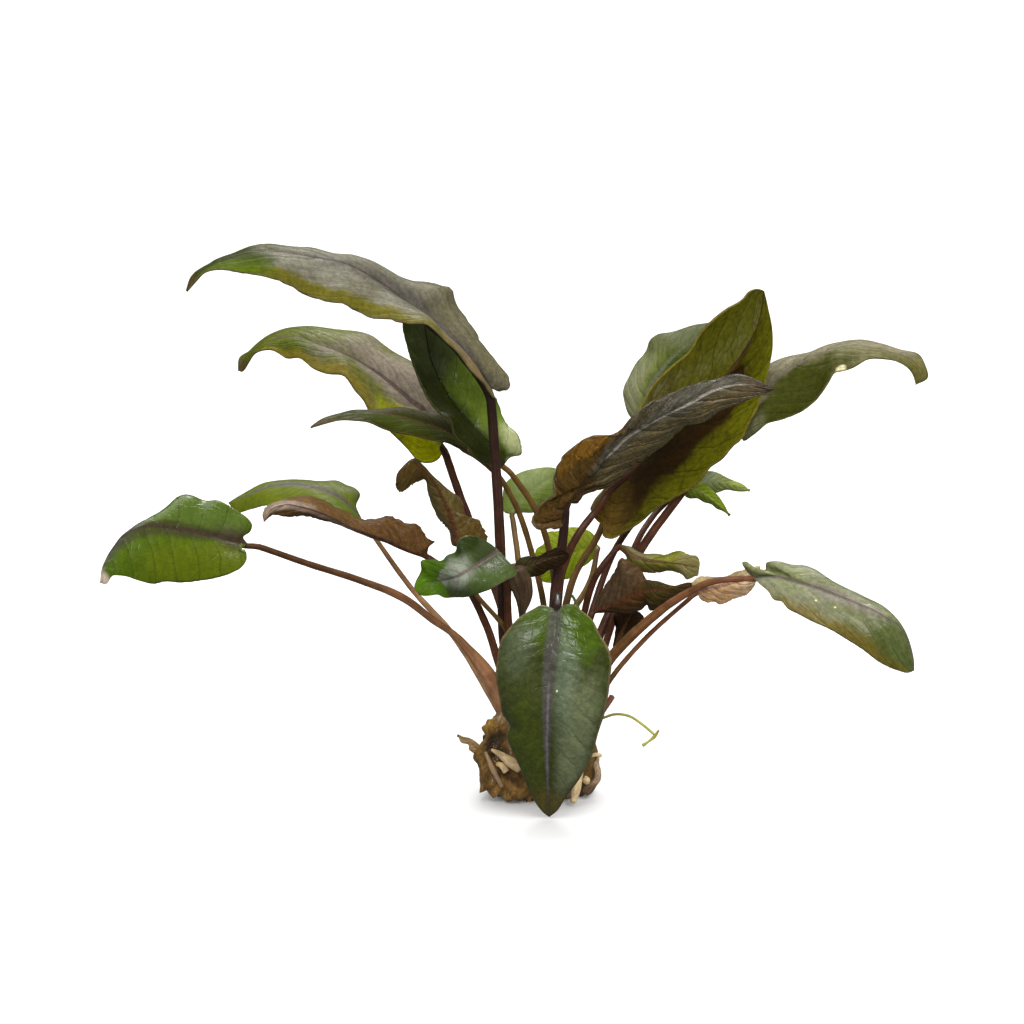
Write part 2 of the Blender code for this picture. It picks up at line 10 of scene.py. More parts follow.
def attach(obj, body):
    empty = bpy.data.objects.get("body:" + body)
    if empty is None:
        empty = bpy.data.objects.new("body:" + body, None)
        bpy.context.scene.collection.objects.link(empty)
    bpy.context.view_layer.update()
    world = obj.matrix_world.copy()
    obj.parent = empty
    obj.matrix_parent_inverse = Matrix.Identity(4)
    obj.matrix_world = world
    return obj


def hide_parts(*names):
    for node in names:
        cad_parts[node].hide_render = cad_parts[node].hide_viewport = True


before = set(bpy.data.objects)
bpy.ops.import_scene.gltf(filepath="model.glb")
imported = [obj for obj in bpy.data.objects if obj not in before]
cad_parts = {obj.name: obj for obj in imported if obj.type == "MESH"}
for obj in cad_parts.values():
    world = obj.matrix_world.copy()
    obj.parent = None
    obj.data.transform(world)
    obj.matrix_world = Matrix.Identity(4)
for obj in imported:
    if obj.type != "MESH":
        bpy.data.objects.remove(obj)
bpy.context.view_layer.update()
MM = 0.001

# The camera looks a little down at the plant from the front, with a long lens.
# Outlines further on are in mm as this front view shows them: to the right of the crown's middle,
# and up from the level on which the plant stands.
VIEW_DISTANCE = 900.0
VIEW_DOWN_DEGREES = 10.0
VIEW_LENS = 131.84
VIEW_STARTS_AT = 0.05
VIEW_MIDDLE = np.array((-6.72, 0.0, 69.0))
MIDDLE_ABOVE_STANDING_LEVEL = 67.92
view_down = math.radians(VIEW_DOWN_DEGREES)
EYE = VIEW_MIDDLE + VIEW_DISTANCE * np.array((0.0, -math.cos(view_down), math.sin(view_down)))
VIEW_UP = np.array((0.0, math.sin(view_down), math.cos(view_down)))


def set_out(name, data):
    # an object of the scene around a mesh, a lamp or a camera
    made = bpy.data.objects.new(name, data)
    bpy.context.scene.collection.objects.link(made)
    return made


def seen(x, up, depth):
    # the place that shows at x and up in the front view and lies at this depth behind the crown's middle
    on_view = VIEW_MIDDLE + np.array((x - VIEW_MIDDLE[0], 0.0, 0.0))
    on_view = on_view + VIEW_UP * (up - MIDDLE_ABOVE_STANDING_LEVEL)
    ray = on_view - EYE
    return EYE + ray * (depth - EYE[1]) / ray[1]


camera = set_out("camera", bpy.data.cameras.new("camera"))
camera.data.lens = VIEW_LENS
camera.data.clip_start = VIEW_STARTS_AT
camera.location = tuple(EYE * MM)
camera.rotation_euler = (math.radians(90 - VIEW_DOWN_DEGREES), 0.0, 0.0)
bpy.context.scene.camera = camera
bpy.context.scene.view_settings.view_transform = "Standard"

# The plant stands on a wide floor of matt white paper, which catches its soft shadow and throws no light
# back on the leaves.
FLOOR_REACH = 40.0


def new_material(name, values):
    # a material, its node tree and its shader's sockets, with the values that are the same all over
    material = bpy.data.materials.new(name)
    material.use_nodes = True
    sockets = material.node_tree.nodes["Principled BSDF"].inputs
    for socket, value in values.items():
        sockets[socket].default_value = value
    return material, material.node_tree, sockets


work = bmesh.new()
bmesh.ops.create_grid(work, x_segments=1, y_segments=1, size=FLOOR_REACH)
floor = set_out("floor", bpy.data.meshes.new("floor"))
work.to_mesh(floor.data)
work.free()
paper, _, _ = new_material("floor_paper", {"Base Color": (0.92, 0.92, 0.92, 1.0), "Roughness": 0.9,
                                           "Specular IOR Level": 0.1})
floor.data.materials.append(paper)
floor.visible_diffuse = False
floor.visible_glossy = False

# Soft studio light: a white room, lighter above than below, a broad soft lamp high behind the plant whose
# shine glazes the upper sides of the leaves, a soft box before it and a shineless fill from the front.
ROOM_ABOVE = 0.75
ROOM_BELOW = 0.15
ROOM_IN_GLOSS = 0.1
ROOM_IN_CAMERA = 1.0
LIT_SPOT = Vector((0.0, 0.0, 0.06))


def add(tree, kind, inputs=None, **settings):
    # a shader node with its settings made, and each input either linked or set
    made = tree.nodes.new("ShaderNode" + kind)
    for key, value in settings.items():
        setattr(made, key, value)
    for key, value in (inputs or {}).items():
        if isinstance(value, bpy.types.NodeSocket):
            tree.links.new(value, made.inputs[key])
        else:
            made.inputs[key].default_value = value
    return made


def lamp(name, kind, place, power, shines=True, **settings):
    made = set_out(name, bpy.data.lights.new(name, kind))
    made.data.energy = power
    for key, value in settings.items():
        setattr(made.data, key, value)
    made.location = place
    made.rotation_euler = (LIT_SPOT - made.location).to_track_quat("-Z", "Y").to_euler()
    made.visible_glossy = shines


room = bpy.data.worlds.new("room")
room.use_nodes = True
tree = room.node_tree
rise = add(tree, "SeparateXYZ", {0: add(tree, "TexCoord").outputs["Generated"]}).outputs[2]
room_light = add(tree, "MapRange", {0: rise, 1: -1.0, 2: 1.0, 3: ROOM_BELOW, 4: ROOM_ABOVE}).outputs[0]
rays = add(tree, "LightPath").outputs
for kind, strength in (("Is Glossy Ray", ROOM_IN_GLOSS), ("Is Camera Ray", ROOM_IN_CAMERA)):
    room_light = add(tree, "Mix", {0: rays[kind], 2: room_light, 3: strength}).outputs[0]
tree.links.new(room_light, tree.nodes["Background"].inputs["Strength"])
tree.nodes["Background"].inputs["Color"].default_value = (1.0, 1.0, 1.0, 1.0)
bpy.context.scene.world = room
lamp("high_lamp", "SUN", (0.0, 0.55, 1.2), 1.6, angle=math.radians(60))
lamp("front_fill", "SUN", (0.3, -1.0, 0.8), 2.0, shines=False, angle=math.radians(40))
lamp("soft_box", "AREA", (-0.22, -0.85, 0.6), 3.0, shape="RECTANGLE", size=0.4, size_y=0.3)
lamp("back_box", "AREA", (0.1, 0.55, 0.75), 2.0, shape="RECTANGLE", size=0.3, size_y=0.2)

# The upper left leaf is the longest. Its stalk is dark, its blade arches over to the left and is grey-olive
# with a dark rib above, its grey partly a painted sheen, and golden green below. Stalk and blade grow
# together, fleshy and a little wet.
CURVE_SAMPLES = 401
BLADE_ROWS = 84
BLADE_COLUMNS = 40
BLADE_THICKNESS = 0.45
WIDEST_AT = 0.72
FULLNESS = 0.8
SLANTS_EVENED = 9
WIDE_NIBBLES = 45.0
FINE_NIBBLES = 110.0
FINE_NIBBLE_SHARE = 0.7
VEIN_BEND = 1.25
RIGHT_VEINS_AHEAD = 0.4
PILLOW_ROUNDNESS = 0.6
RIPPLES_APART = 0.27
LUMPS_PER_MM = 0.11
STEM_SIDES = 20
STEM_LUMPS_PER_MM = 0.35
LEAFSTALK_RINGS = 90
LEAFSTALK_LUMPS = 0.08
STALK_SPOTS = 30
PROFILE_SPOTS = 25
RIB_STEP = 4
RIB_SUNK = 0.3
RIB_THINS_OVER = 0.12
RIB_END_THICKNESS = 0.35


def smooth_curve(points, parameters):
    # a curve through the given points or values, its parameter running along the chords from 0 to 1
    points = np.array(points, dtype=float)
    if points.ndim == 1:
        points = points[:, None]
        steps = np.ones(len(points) - 1)
    else:
        steps = np.linalg.norm(np.diff(points, axis=0), axis=1)
    knots = np.concatenate(([0.0], np.cumsum(steps)))
    slopes = np.zeros_like(points)
    chords = np.diff(points, axis=0) / steps[:, None]
    slopes[0] = chords[0]
    slopes[-1] = chords[-1]
    for i in range(1, len(points) - 1):
        slopes[i] = (chords[i - 1] * steps[i] + chords[i] * steps[i - 1]) / (steps[i] + steps[i - 1])
    place = np.asarray(parameters, dtype=float) * knots[-1]
    i = np.clip(np.searchsorted(knots, place, side="right") - 1, 0, len(points) - 2)
    w = ((place - knots[i]) / steps[i])[:, None]
    step = steps[i][:, None]
    start = (2 * w ** 3 - 3 * w ** 2 + 1) * points[i] + (w ** 3 - 2 * w ** 2 + w) * step * slopes[i]
    end = (3 * w ** 2 - 2 * w ** 3) * points[i + 1] + (w ** 3 - w ** 2) * step * slopes[i + 1]
    return start + end


def even_curve(points, parameters):
    # the same curve, its parameter running evenly along its length
    dense = smooth_curve(points, np.linspace(0.0, 1.0, CURVE_SAMPLES))
    along = np.concatenate(([0.0], np.cumsum(np.linalg.norm(np.diff(dense, axis=0), axis=1))))
    wanted = np.asarray(parameters) * along[-1]
    return np.stack([np.interp(wanted, along, dense[:, k]) for k in range(dense.shape[1])], axis=1)


def units(vectors):
    lengths = np.linalg.norm(vectors, axis=-1, keepdims=True)
    return vectors / np.maximum(lengths, 1e-9)


def finish_piece(name, work, skin, node):
    # turns the worked mesh into a piece of the plant, which is in metres and stands on the floor
    for vertex in work.verts:
        vertex.co.z = max(vertex.co.z, 0.0)
    bmesh.ops.scale(work, vec=(MM, MM, MM), verts=work.verts)
    mesh = bpy.data.meshes.new(name)
    work.to_mesh(mesh)
    work.free()
    mesh.shade_smooth()
    mesh.materials.append(skin)
    piece = set_out(name, mesh)
    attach(piece, "root")
    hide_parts(node)


def blade(name, skin, node, slot, rib, rib_depth, right, left, width, away_right, away_left, tip=None,
          bulge=0.10, ripple=0.2, waves=4.0, quilt=0.12, side_veins=9.0, sweep=0.25, upper_side=1, lumps=0.5,
          ragged=0.012):
    # Rib and margins are outlines in the front view, the margins between the rib's first point and the tip. A
    # half's real width is known, so where it shows narrower it slants away from the viewer by a share of what
    # is missing, toward the viewer where the share is negative. One share, or several from stalk to tip.
    rows = np.linspace(0.0, 1.0, BLADE_ROWS + 1)
    rows = 0.5 * rows + 0.25 * (1.0 - np.cos(np.pi * rows))
    rib_view = even_curve(rib, rows)
    depth = smooth_curve(rib_depth, rows)[:, 0]
    middle = np.array([seen(x, up, y) for (x, up), y in zip(rib_view, depth)])
    forward = units(np.gradient(middle, axis=0))
    half_width = 0.5 * width * np.sin(np.pi * rows ** WIDEST_AT) ** FULLNESS
    margins = {}
    for side, outline, away in ((1, right, away_right), (-1, left, away_left)):
        view = even_curve([rib[0], *outline, tip or rib[-1]], rows)
        shown = np.linalg.norm(view - rib_view, axis=1)
        away = away if isinstance(away, tuple) else 3 * (away,)
        slant = np.sqrt(np.maximum(half_width ** 2 - shown ** 2, 0.0)) * smooth_curve(away, rows)[:, 0]
        slant = np.pad(slant, SLANTS_EVENED // 2, mode="edge")
        slant = np.convolve(slant, np.ones(SLANTS_EVENED) / SLANTS_EVENED, mode="valid")
        slant[0] = 0.0
        slant[-1] = 0.0
        margin = np.array([seen(x, up, y) for (x, up), y in zip(view, depth + slant)])
        nibbles = np.array([noise.noise(Vector((q * WIDE_NIBBLES, 7.0 * side, width))) for q in rows])
        fine = np.array([noise.noise(Vector((q * FINE_NIBBLES, 3.0 * side, width))) for q in rows])
        bitten = ragged * np.abs(nibbles + FINE_NIBBLE_SHARE * fine)
        margins[side] = middle + (margin - middle) * (1.0 - bitten)[:, None]
    reach = {side: margins[side] - middle for side in margins}
    span = {side: np.linalg.norm(reach[side], axis=1) for side in margins}
    facing = {side: units(np.cross(reach[side], forward)) * side for side in margins}
    for side in facing:
        facing[side][0] = facing[side][1]
        facing[side][-1] = facing[side][-2]
    work = bmesh.new()
    sheet = work.loops.layers.uv.new("leaf")
    inward = work.verts.layers.float_vector.new("inward")
    other_side = work.verts.layers.float.new("other_side")
    off_rib = work.verts.layers.float.new("off_rib")
    bmesh.ops.create_grid(work, x_segments=BLADE_COLUMNS, y_segments=BLADE_ROWS, size=0.5, calc_uvs=True)
    for face in work.faces:
        for corner in face.loops:
            corner[sheet].uv.y = rows[round(corner[sheet].uv.y * BLADE_ROWS)]
    for vertex in work.verts:
        k = round((vertex.co.y + 0.5) * BLADE_ROWS)
        side = 1 if vertex.co.x >= 0 else -1
        across = abs(vertex.co.x) * 2.0
        spot = middle[k] + reach[side][k] * across
        ends = math.sin(math.pi * rows[k]) ** 0.5 if 0 < k < BLADE_ROWS else 0.0
        arch = bulge * 4.0 * across * (1.0 - across) * span[side][k]
        cell = side_veins * (rows[k] - sweep * across ** VEIN_BEND) + (RIGHT_VEINS_AHEAD if side > 0 else 0.0)
        puffed = abs(math.sin(math.pi * cell)) ** PILLOW_ROUNDNESS - PILLOW_ROUNDNESS
        pillow = quilt * puffed * math.sin(math.pi * min(across * 1.15, 1.0))
        sway = ripple * math.sin(2 * math.pi * (waves * rows[k] + RIPPLES_APART * side)) * across ** 2.5
        rough = lumps * noise.noise(Vector(spot * LUMPS_PER_MM)) * across ** 0.5
        raised = (arch + pillow * ends) * upper_side + (sway + rough) * ends
        vertex.co = Vector(spot + facing[side][k] * raised)
        vertex[off_rib] = across * span[side][k]
    bmesh.ops.remove_doubles(work, verts=work.verts, dist=0.001)
    work.normal_update()
    for vertex in work.verts:
        vertex[inward] = -vertex.normal * BLADE_THICKNESS
    back = bmesh.ops.duplicate(work, geom=[*work.verts, *work.edges, *work.faces])["geom"]
    for vertex in back:
        if isinstance(vertex, bmesh.types.BMVert):
            vertex.co += vertex[inward]
            vertex[other_side] = 1.0
    bmesh.ops.reverse_faces(work, faces=[f for f in back if isinstance(f, bmesh.types.BMFace)])
    open_edges = [e for e in work.edges if e.is_boundary]
    rim = set(bmesh.ops.bridge_loops(work, edges=open_edges)["faces"])
    for corner in (c for face in rim for c in face.loops):
        corner[sheet].uv = next(c[sheet].uv for c in corner.vert.link_loops if c.face not in rim)
    finish_piece(name + "_leafblade", work, skin, node)
    return middle, units(facing[1] + facing[-1]) * upper_side


def calc(tree, operation, *values):
    return add(tree, "Math", dict(enumerate(values)), operation=operation).outputs[0]


def from_middle(tree, value):
    # 0 where the value is a half, 1 where it is 0 or 1
    return calc(tree, "MULTIPLY", calc(tree, "ABSOLUTE", calc(tree, "SUBTRACT", value, 0.5)), 2.0)


def ramp(tree, value, low, high, to_low=0.0, to_high=1.0):
    # a soft step from one value to another
    settings = dict(interpolation_type="SMOOTHSTEP")
    return add(tree, "MapRange", {0: value, 1: low, 2: high, 3: to_low, 4: to_high}, **settings).outputs[0]


def tint(tree, share, under, over, way="MIX"):
    # one colour laid over another
    colours = {0: share}
    for key, colour in ((6, under), (7, over)):
        colours[key] = colour if isinstance(colour, bpy.types.NodeSocket) else (*colour, 1.0)
    return add(tree, "Mix", colours, data_type="RGBA", blend_type=way).outputs[2]


def lay(tree, mask, share, under, over):
    # a colour laid over another where its mask says, by no more than its share
    return tint(tree, calc(tree, "MULTIPLY", mask, share), under, over)


def shade(tree, colour, mask, dark, light):
    # a colour made darker and lighter by a mask
    grey = tint(tree, mask, (dark,) * 3, (light,) * 3)
    return tint(tree, 1.0, colour, grey, "MULTIPLY")


def cloud(tree, place, scale, detail, roughness=0.5, distortion=0.0, output="Fac", **settings):
    inputs = {"Vector": place, "Scale": scale, "Detail": detail, "Roughness": roughness}
    return add(tree, "TexNoise", {**inputs, "Distortion": distortion}, **settings).outputs[output]


def combine(tree, *values):
    return add(tree, "CombineXYZ", dict(enumerate(values))).outputs[0]


def new_effect(name, inputs, outputs):
    tree = bpy.data.node_groups.new(name, "ShaderNodeTree")
    for socket, kind in inputs.items():
        tree.interface.new_socket(socket, in_out="INPUT", socket_type="NodeSocket" + kind)
    for socket in outputs:
        tree.interface.new_socket(socket, in_out="OUTPUT", socket_type="NodeSocketFloat")
    return tree, tree.nodes.new("NodeGroupInput").outputs, tree.nodes.new("NodeGroupOutput").inputs


# The net of veins in a blade: the rib, side veins that leave it slanting and bend toward the tip, and a
# fine mesh between them, with the skin puffed up between the veins.
veins_effect, given, made = new_effect(
    "blade_veins", {"Blade": "Vector", "Place": "Vector", "Off Rib": "Float", "Side Veins": "Float",
                    "Sweep": "Float", "Rib": "Float"},
    ("Side", "Net", "Rib", "Rim", "Puff", "Streak"))
tree = veins_effect
across, along = add(tree, "SeparateXYZ", {0: given["Blade"]}).outputs[:2]
off_rib = from_middle(tree, across)
wander = cloud(tree, given["Place"], 110.0, 2.0)
swept = calc(tree, "MULTIPLY", calc(tree, "POWER", off_rib, VEIN_BEND), given["Sweep"])
phase = calc(tree, "MULTIPLY", calc(tree, "SUBTRACT", along, swept), given["Side Veins"])
on_right = calc(tree, "GREATER_THAN", across, 0.5)
phase = calc(tree, "ADD", phase, calc(tree, "MULTIPLY", on_right, RIGHT_VEINS_AHEAD))
phase = calc(tree, "ADD", phase, calc(tree, "MULTIPLY", wander, 0.7))
off_vein = from_middle(tree, calc(tree, "FRACT", phase))
cells = combine(tree, calc(tree, "MULTIPLY", off_rib, 6.0), calc(tree, "MULTIPLY", phase, 2.2))
mesh_lines = add(tree, "TexVoronoi", {"Vector": cells, "Scale": 1.0}, feature="DISTANCE_TO_EDGE",
                 voronoi_dimensions="2D").outputs["Distance"]
combed = combine(tree, calc(tree, "MULTIPLY", phase, 4.0), calc(tree, "MULTIPLY", off_rib, 2.5))
streaks = cloud(tree, combed, 1.0, 4.0, 0.65, noise_dimensions="2D")
rib_taper = calc(tree, "POWER", calc(tree, "SUBTRACT", 1.08, along), 1.3)
rib_reach = calc(tree, "MULTIPLY", given["Rib"], rib_taper)
for socket, value in (
        ("Side", ramp(tree, off_vein, 0.88, 1.0)),
        ("Net", ramp(tree, mesh_lines, 0.0, 0.09, 1.0, 0.0)),
        ("Rib", ramp(tree, calc(tree, "DIVIDE", given["Off Rib"], rib_reach), 0.6, 1.2, 1.0, 0.0)),
        ("Rim", ramp(tree, off_rib, 0.95, 0.985)),
        ("Puff", calc(tree, "SUBTRACT", 1.0, calc(tree, "POWER", off_vein, 3.0))),
        ("Streak", ramp(tree, streaks, 0.3, 0.7))):
    tree.links.new(value, made[socket])

# Blotches: patches of another colour with ragged borders, and a fine speckle.
blotch_effect, given, made = new_effect("blotches", {"Place": "Vector", "Scale": "Float", "Share": "Float"},
                                        ("Patch", "Speckle"))
tree = blotch_effect
broad = cloud(tree, given["Place"], given["Scale"], 4.0, 0.6, 0.6)
level = calc(tree, "SUBTRACT", 0.78, calc(tree, "MULTIPLY", given["Share"], 0.56))
patch = calc(tree, "DIVIDE", calc(tree, "SUBTRACT", broad, level), 0.14)
tree.links.new(ramp(tree, patch, -1.0, 1.0), made["Patch"])
tree.links.new(cloud(tree, given["Place"], 900.0, 3.0, 0.65), made["Speckle"])

# A zone of the blade with a colour of its own, oval and with a wandering border. Across runs from 0 at the
# left margin over 0.5 at the rib to 1 at the right one, along from 0 at the stalk to 1 at the tip.
zone_effect, given, made = new_effect("zone", {
    "Blade": "Vector", "Place": "Vector", "Across": "Float", "Along": "Float", "Reach Across": "Float",
    "Reach Along": "Float", "Softness": "Float"}, ("Share",))
tree = zone_effect
split = add(tree, "SeparateXYZ", {0: given["Blade"]}).outputs
stray = add(tree, "SeparateXYZ", {0: cloud(tree, given["Place"], 150.0, 4.0, 0.6, output="Color")}).outputs
squares = []
for k, way in enumerate(("Across", "Along")):
    off = calc(tree, "DIVIDE", calc(tree, "SUBTRACT", split[k], given[way]), given["Reach " + way])
    off = calc(tree, "ADD", off, calc(tree, "SUBTRACT", stray[k], 0.5))
    squares.append(calc(tree, "MULTIPLY", off, off))
far = calc(tree, "SQRT", calc(tree, "ADD", *squares))
inner = calc(tree, "SUBTRACT", 1.0, given["Softness"])
outer = calc(tree, "ADD", 1.0, given["Softness"])
tree.links.new(ramp(tree, far, inner, outer, 1.0, 0.0), made["Share"])


def use(tree, effect, **inputs):
    placed = tree.nodes.new("ShaderNodeGroup")
    placed.node_tree = effect
    for key, value in inputs.items():
        socket = placed.inputs[key.replace("_", " ")]
        if isinstance(value, bpy.types.NodeSocket):
            tree.links.new(value, socket)
        else:
            socket.default_value = value
    return placed.outputs


def blade_skin(name, main, patch, rib, vein, rim, under, zones=(), patch_scale=70.0, patch_share=0.4,
               side_veins=9.0, sweep=0.25, rib_width=0.9, rib_share=0.85, vein_share=0.3, net_share=0.15,
               rim_share=0.7, roughness=0.3, relief=0.5, gloss=0.14, coat=0.2, grain=0.10, streak=0.07):
    # Each zone says where its middle lies across and along, how far it reaches across and along, its colour,
    # how much of it covers what is under it, and how soft its border is.
    skin, tree, sockets = new_material(name, {"Specular IOR Level": gloss, "Coat Weight": coat,
                                              "Coat Roughness": 0.14})
    place = add(tree, "TexCoord").outputs["Object"]
    sheet = add(tree, "UVMap", uv_map="leaf").outputs[0]
    off_rib = add(tree, "Attribute", attribute_name="off_rib").outputs["Fac"]
    net = use(tree, veins_effect, Blade=sheet, Place=place, Off_Rib=off_rib, Side_Veins=side_veins,
              Sweep=sweep, Rib=rib_width)
    mottle = use(tree, blotch_effect, Place=place, Scale=patch_scale, Share=patch_share)
    colour = lay(tree, mottle["Patch"], 0.9, main, patch)
    for across, along, reach_across, reach_along, zone_colour, share, softness in zones:
        zone = use(tree, zone_effect, Blade=sheet, Place=place, Across=across, Along=along,
                   Reach_Across=reach_across, Reach_Along=reach_along, Softness=softness)["Share"]
        colour = lay(tree, zone, share, colour, zone_colour)
    colour = lay(tree, net["Net"], net_share, colour, vein)
    colour = lay(tree, net["Side"], vein_share, colour, vein)
    colour = lay(tree, net["Rib"], rib_share, colour, rib)
    colour = lay(tree, net["Rim"], rim_share, colour, rim)
    below = lay(tree, net["Side"], vein_share, under, vein)
    below = lay(tree, net["Rib"], rib_share, below, rib)
    colour = tint(tree, add(tree, "Attribute", attribute_name="other_side").outputs["Fac"], colour, below)
    colour = shade(tree, colour, ramp(tree, mottle["Speckle"], 0.3, 0.7), 1.0 - grain, 1.0 + grain)
    colour = shade(tree, colour, net["Streak"], 1.0 - streak, 1.0 + streak)
    tree.links.new(colour, sockets["Base Color"])
    dulled = ramp(tree, mottle["Patch"], 0.0, 1.0, roughness + 0.12, roughness - 0.06)
    tree.links.new(dulled, sockets["Roughness"])
    crinkle = cloud(tree, place, 420.0, 3.0, 0.55)
    height = calc(tree, "ADD", net["Puff"], calc(tree, "MULTIPLY", crinkle, 1.2))
    height = calc(tree, "SUBTRACT", height, calc(tree, "MULTIPLY", net["Net"], 0.25))
    height = calc(tree, "ADD", height, calc(tree, "MULTIPLY", net["Streak"], 0.15))
    bump = add(tree, "Bump", {"Strength": 1.0, "Distance": 0.0004 * relief, "Height": height})
    tree.links.new(bump.outputs["Normal"], sockets["Normal"])
    tree.links.new(bump.outputs["Normal"], sockets["Coat Normal"])
    return skin


# Stalks are round and fleshy, fluted lengthwise, paler and browner where they leave the crown.
stem_effect, given, made = new_effect("flutes", {"Stem": "Vector", "Turns": "Float", "Run": "Float"},
                                      ("Flute",))
tree = stem_effect
split = add(tree, "SeparateXYZ", {0: given["Stem"]}).outputs
angle = calc(tree, "MULTIPLY", split[0], 2 * math.pi)
round_about = combine(tree, calc(tree, "MULTIPLY", calc(tree, "COSINE", angle), given["Turns"]),
                      calc(tree, "MULTIPLY", calc(tree, "SINE", angle), given["Turns"]),
                      calc(tree, "MULTIPLY", split[1], given["Run"]))
tree.links.new(ramp(tree, cloud(tree, round_about, 1.0, 3.0, 0.6), 0.3, 0.7), made["Flute"])


def stem_skin(name, low, high, streak, streaks=0.5, roughness=0.3, gloss=0.22, coat=0.2, turns=3.0, run=3.0,
              relief=0.4):
    skin, tree, sockets = new_material(name, {"Specular IOR Level": gloss, "Coat Weight": coat,
                                              "Coat Roughness": 0.12})
    place = add(tree, "TexCoord").outputs["Object"]
    length = add(tree, "UVMap", uv_map="stem").outputs[0]
    flute = use(tree, stem_effect, Stem=length, Turns=turns, Run=run)["Flute"]
    mottle = use(tree, blotch_effect, Place=place, Scale=220.0, Share=0.5)
    up = add(tree, "SeparateXYZ", {0: length}).outputs[1]
    colour = tint(tree, ramp(tree, up, 0.05, 0.6), low, high)
    colour = lay(tree, flute, streaks, colour, streak)
    tree.links.new(shade(tree, colour, mottle["Patch"], 0.75, 1.2), sockets["Base Color"])
    tree.links.new(ramp(tree, flute, 0.0, 1.0, roughness + 0.1, roughness - 0.05), sockets["Roughness"])
    bump = add(tree, "Bump", {"Strength": relief, "Distance": 0.0003, "Height": flute})
    tree.links.new(bump.outputs["Normal"], sockets["Normal"])
    return skin


def stem(name, skin, node, route, thick, rings=60, flat=1.0, lumps=0.0, end_round=1.0):
    # a sheet rolled up around a route and drawn in at both ends, as thick along it as the values given
    rows = np.linspace(0.0, 1.0, rings + 1)
    line = even_curve(route, rows)
    length = np.linalg.norm(np.diff(line, axis=0), axis=1).sum()
    forward = units(np.gradient(line, axis=0))
    radius = 0.5 * smooth_curve(thick, rows)[:, 0]
    to_end = np.minimum(rows, 1.0 - rows) * length
    cap = np.clip(to_end / (end_round * np.maximum(radius, 0.05)), 0.0, 1.0)
    radius = radius * np.sqrt(np.maximum(1.0 - (1.0 - cap) ** 2, 0.0))
    side = np.cross(forward[0], (0.0, 1.0, 0.15))
    sides = []
    for k in range(rings + 1):
        side = units(side - forward[k] * side.dot(forward[k]))
        sides.append(side)
    work = bmesh.new()
    work.loops.layers.uv.new("stem")
    bmesh.ops.create_grid(work, x_segments=STEM_SIDES, y_segments=rings, size=0.5, calc_uvs=True)
    for vertex in work.verts:
        k = round((vertex.co.y + 0.5) * rings)
        turn = 2 * math.pi * vertex.co.x
        outward = sides[k] * math.cos(turn) + np.cross(forward[k], sides[k]) * math.sin(turn) * flat
        spot = line[k] + outward * radius[k]
        swell = lumps * noise.noise(Vector(spot * STEM_LUMPS_PER_MM)) * min(radius[k], 1.0)
        vertex.co = Vector(spot + outward * swell)
    bmesh.ops.remove_doubles(work, verts=work.verts, dist=0.0005)
    bmesh.ops.recalc_face_normals(work, faces=work.faces)
    finish_piece(name, work, skin, node)


def leaf(name, skin, stalk_skin, stalk, thick, slot, rib, rib_depth, rib_share=0.85, rib_thick=0.6, flat=1.0,
         **shape):
    # a stalk that runs up into its blade and on as the rib under it, and the blade
    middle, facing = blade(name, skin, name + "_blade", slot, rib, rib_depth, **shape)
    stalk_line = even_curve([*stalk, tuple(middle[0])], np.linspace(0.0, 1.0, STALK_SPOTS))
    stalk_length = np.linalg.norm(np.diff(stalk_line, axis=0), axis=1).sum()
    rib_steps = np.linalg.norm(np.diff(middle, axis=0), axis=1)
    rib_end = int(np.searchsorted(np.cumsum(rib_steps), rib_share * rib_steps.sum()))
    sunk = BLADE_THICKNESS + RIB_SUNK * thick[-1] * np.linspace(1.0, 0.3, len(middle))[:, None]
    rib_line = (middle - facing * sunk)[RIB_STEP:rib_end:RIB_STEP]
    share = stalk_length / (stalk_length + rib_share * rib_steps.sum())
    knots = (*np.linspace(0.0, share, len(thick)), min(share + RIB_THINS_OVER, 0.97), 1.0)
    profile = np.interp(np.linspace(0.0, 1.0, PROFILE_SPOTS), knots,
                        (*thick, rib_thick * thick[-1], RIB_END_THICKNESS))
    route = np.concatenate((stalk_line[:-1], rib_line))
    stem(name + "_leafstalk", stalk_skin, name + "_stalk", route, profile, rings=LEAFSTALK_RINGS,
         flat=flat, lumps=LEAFSTALK_LUMPS)


UPPER_LEFT_SKIN = blade_skin(
    "upper_left_skin", main=(0.185, 0.175, 0.13), patch=(0.14, 0.13, 0.085), rib=(0.06, 0.05, 0.045),
    vein=(0.08, 0.07, 0.045), rim=(0.14, 0.11, 0.05), under=(0.1, 0.1, 0.03), sweep=0.55, side_veins=6.0,
    relief=0.35, streak=0.12, grain=0.2, patch_share=0.5, patch_scale=110.0, gloss=0.04, coat=0.02,
    zones=((0.0, 0.62, 0.16, 0.46, (0.12, 0.105, 0.003), 0.9, 0.3),
           (0.45, 0.9, 0.6, 0.15, (0.03, 0.044, 0.002), 0.94, 0.3),
           (0.0, 0.88, 0.36, 0.14, (0.075, 0.11, 0.002), 0.9, 0.3),
           (0.5, 1.0, 0.8, 0.05, (0.08, 0.05, 0.015), 0.9, 0.4),
           (0.5, 0.18, 0.17, 0.42, (0.08, 0.07, 0.06), 0.85, 0.5),
           (0.9, 0.16, 0.3, 0.22, (0.11, 0.095, 0.045), 0.7, 0.4),
           (0.12, 0.1, 0.14, 0.14, (0.2, 0.13, 0.05), 0.8, 0.4)))
DARK_STALK_SKIN = stem_skin(
    "dark_stalk_skin", low=(0.095, 0.034, 0.019), high=(0.02, 0.008, 0.005), streak=(0.012, 0.005, 0.003),
    roughness=0.24, gloss=0.4, coat=0.7)
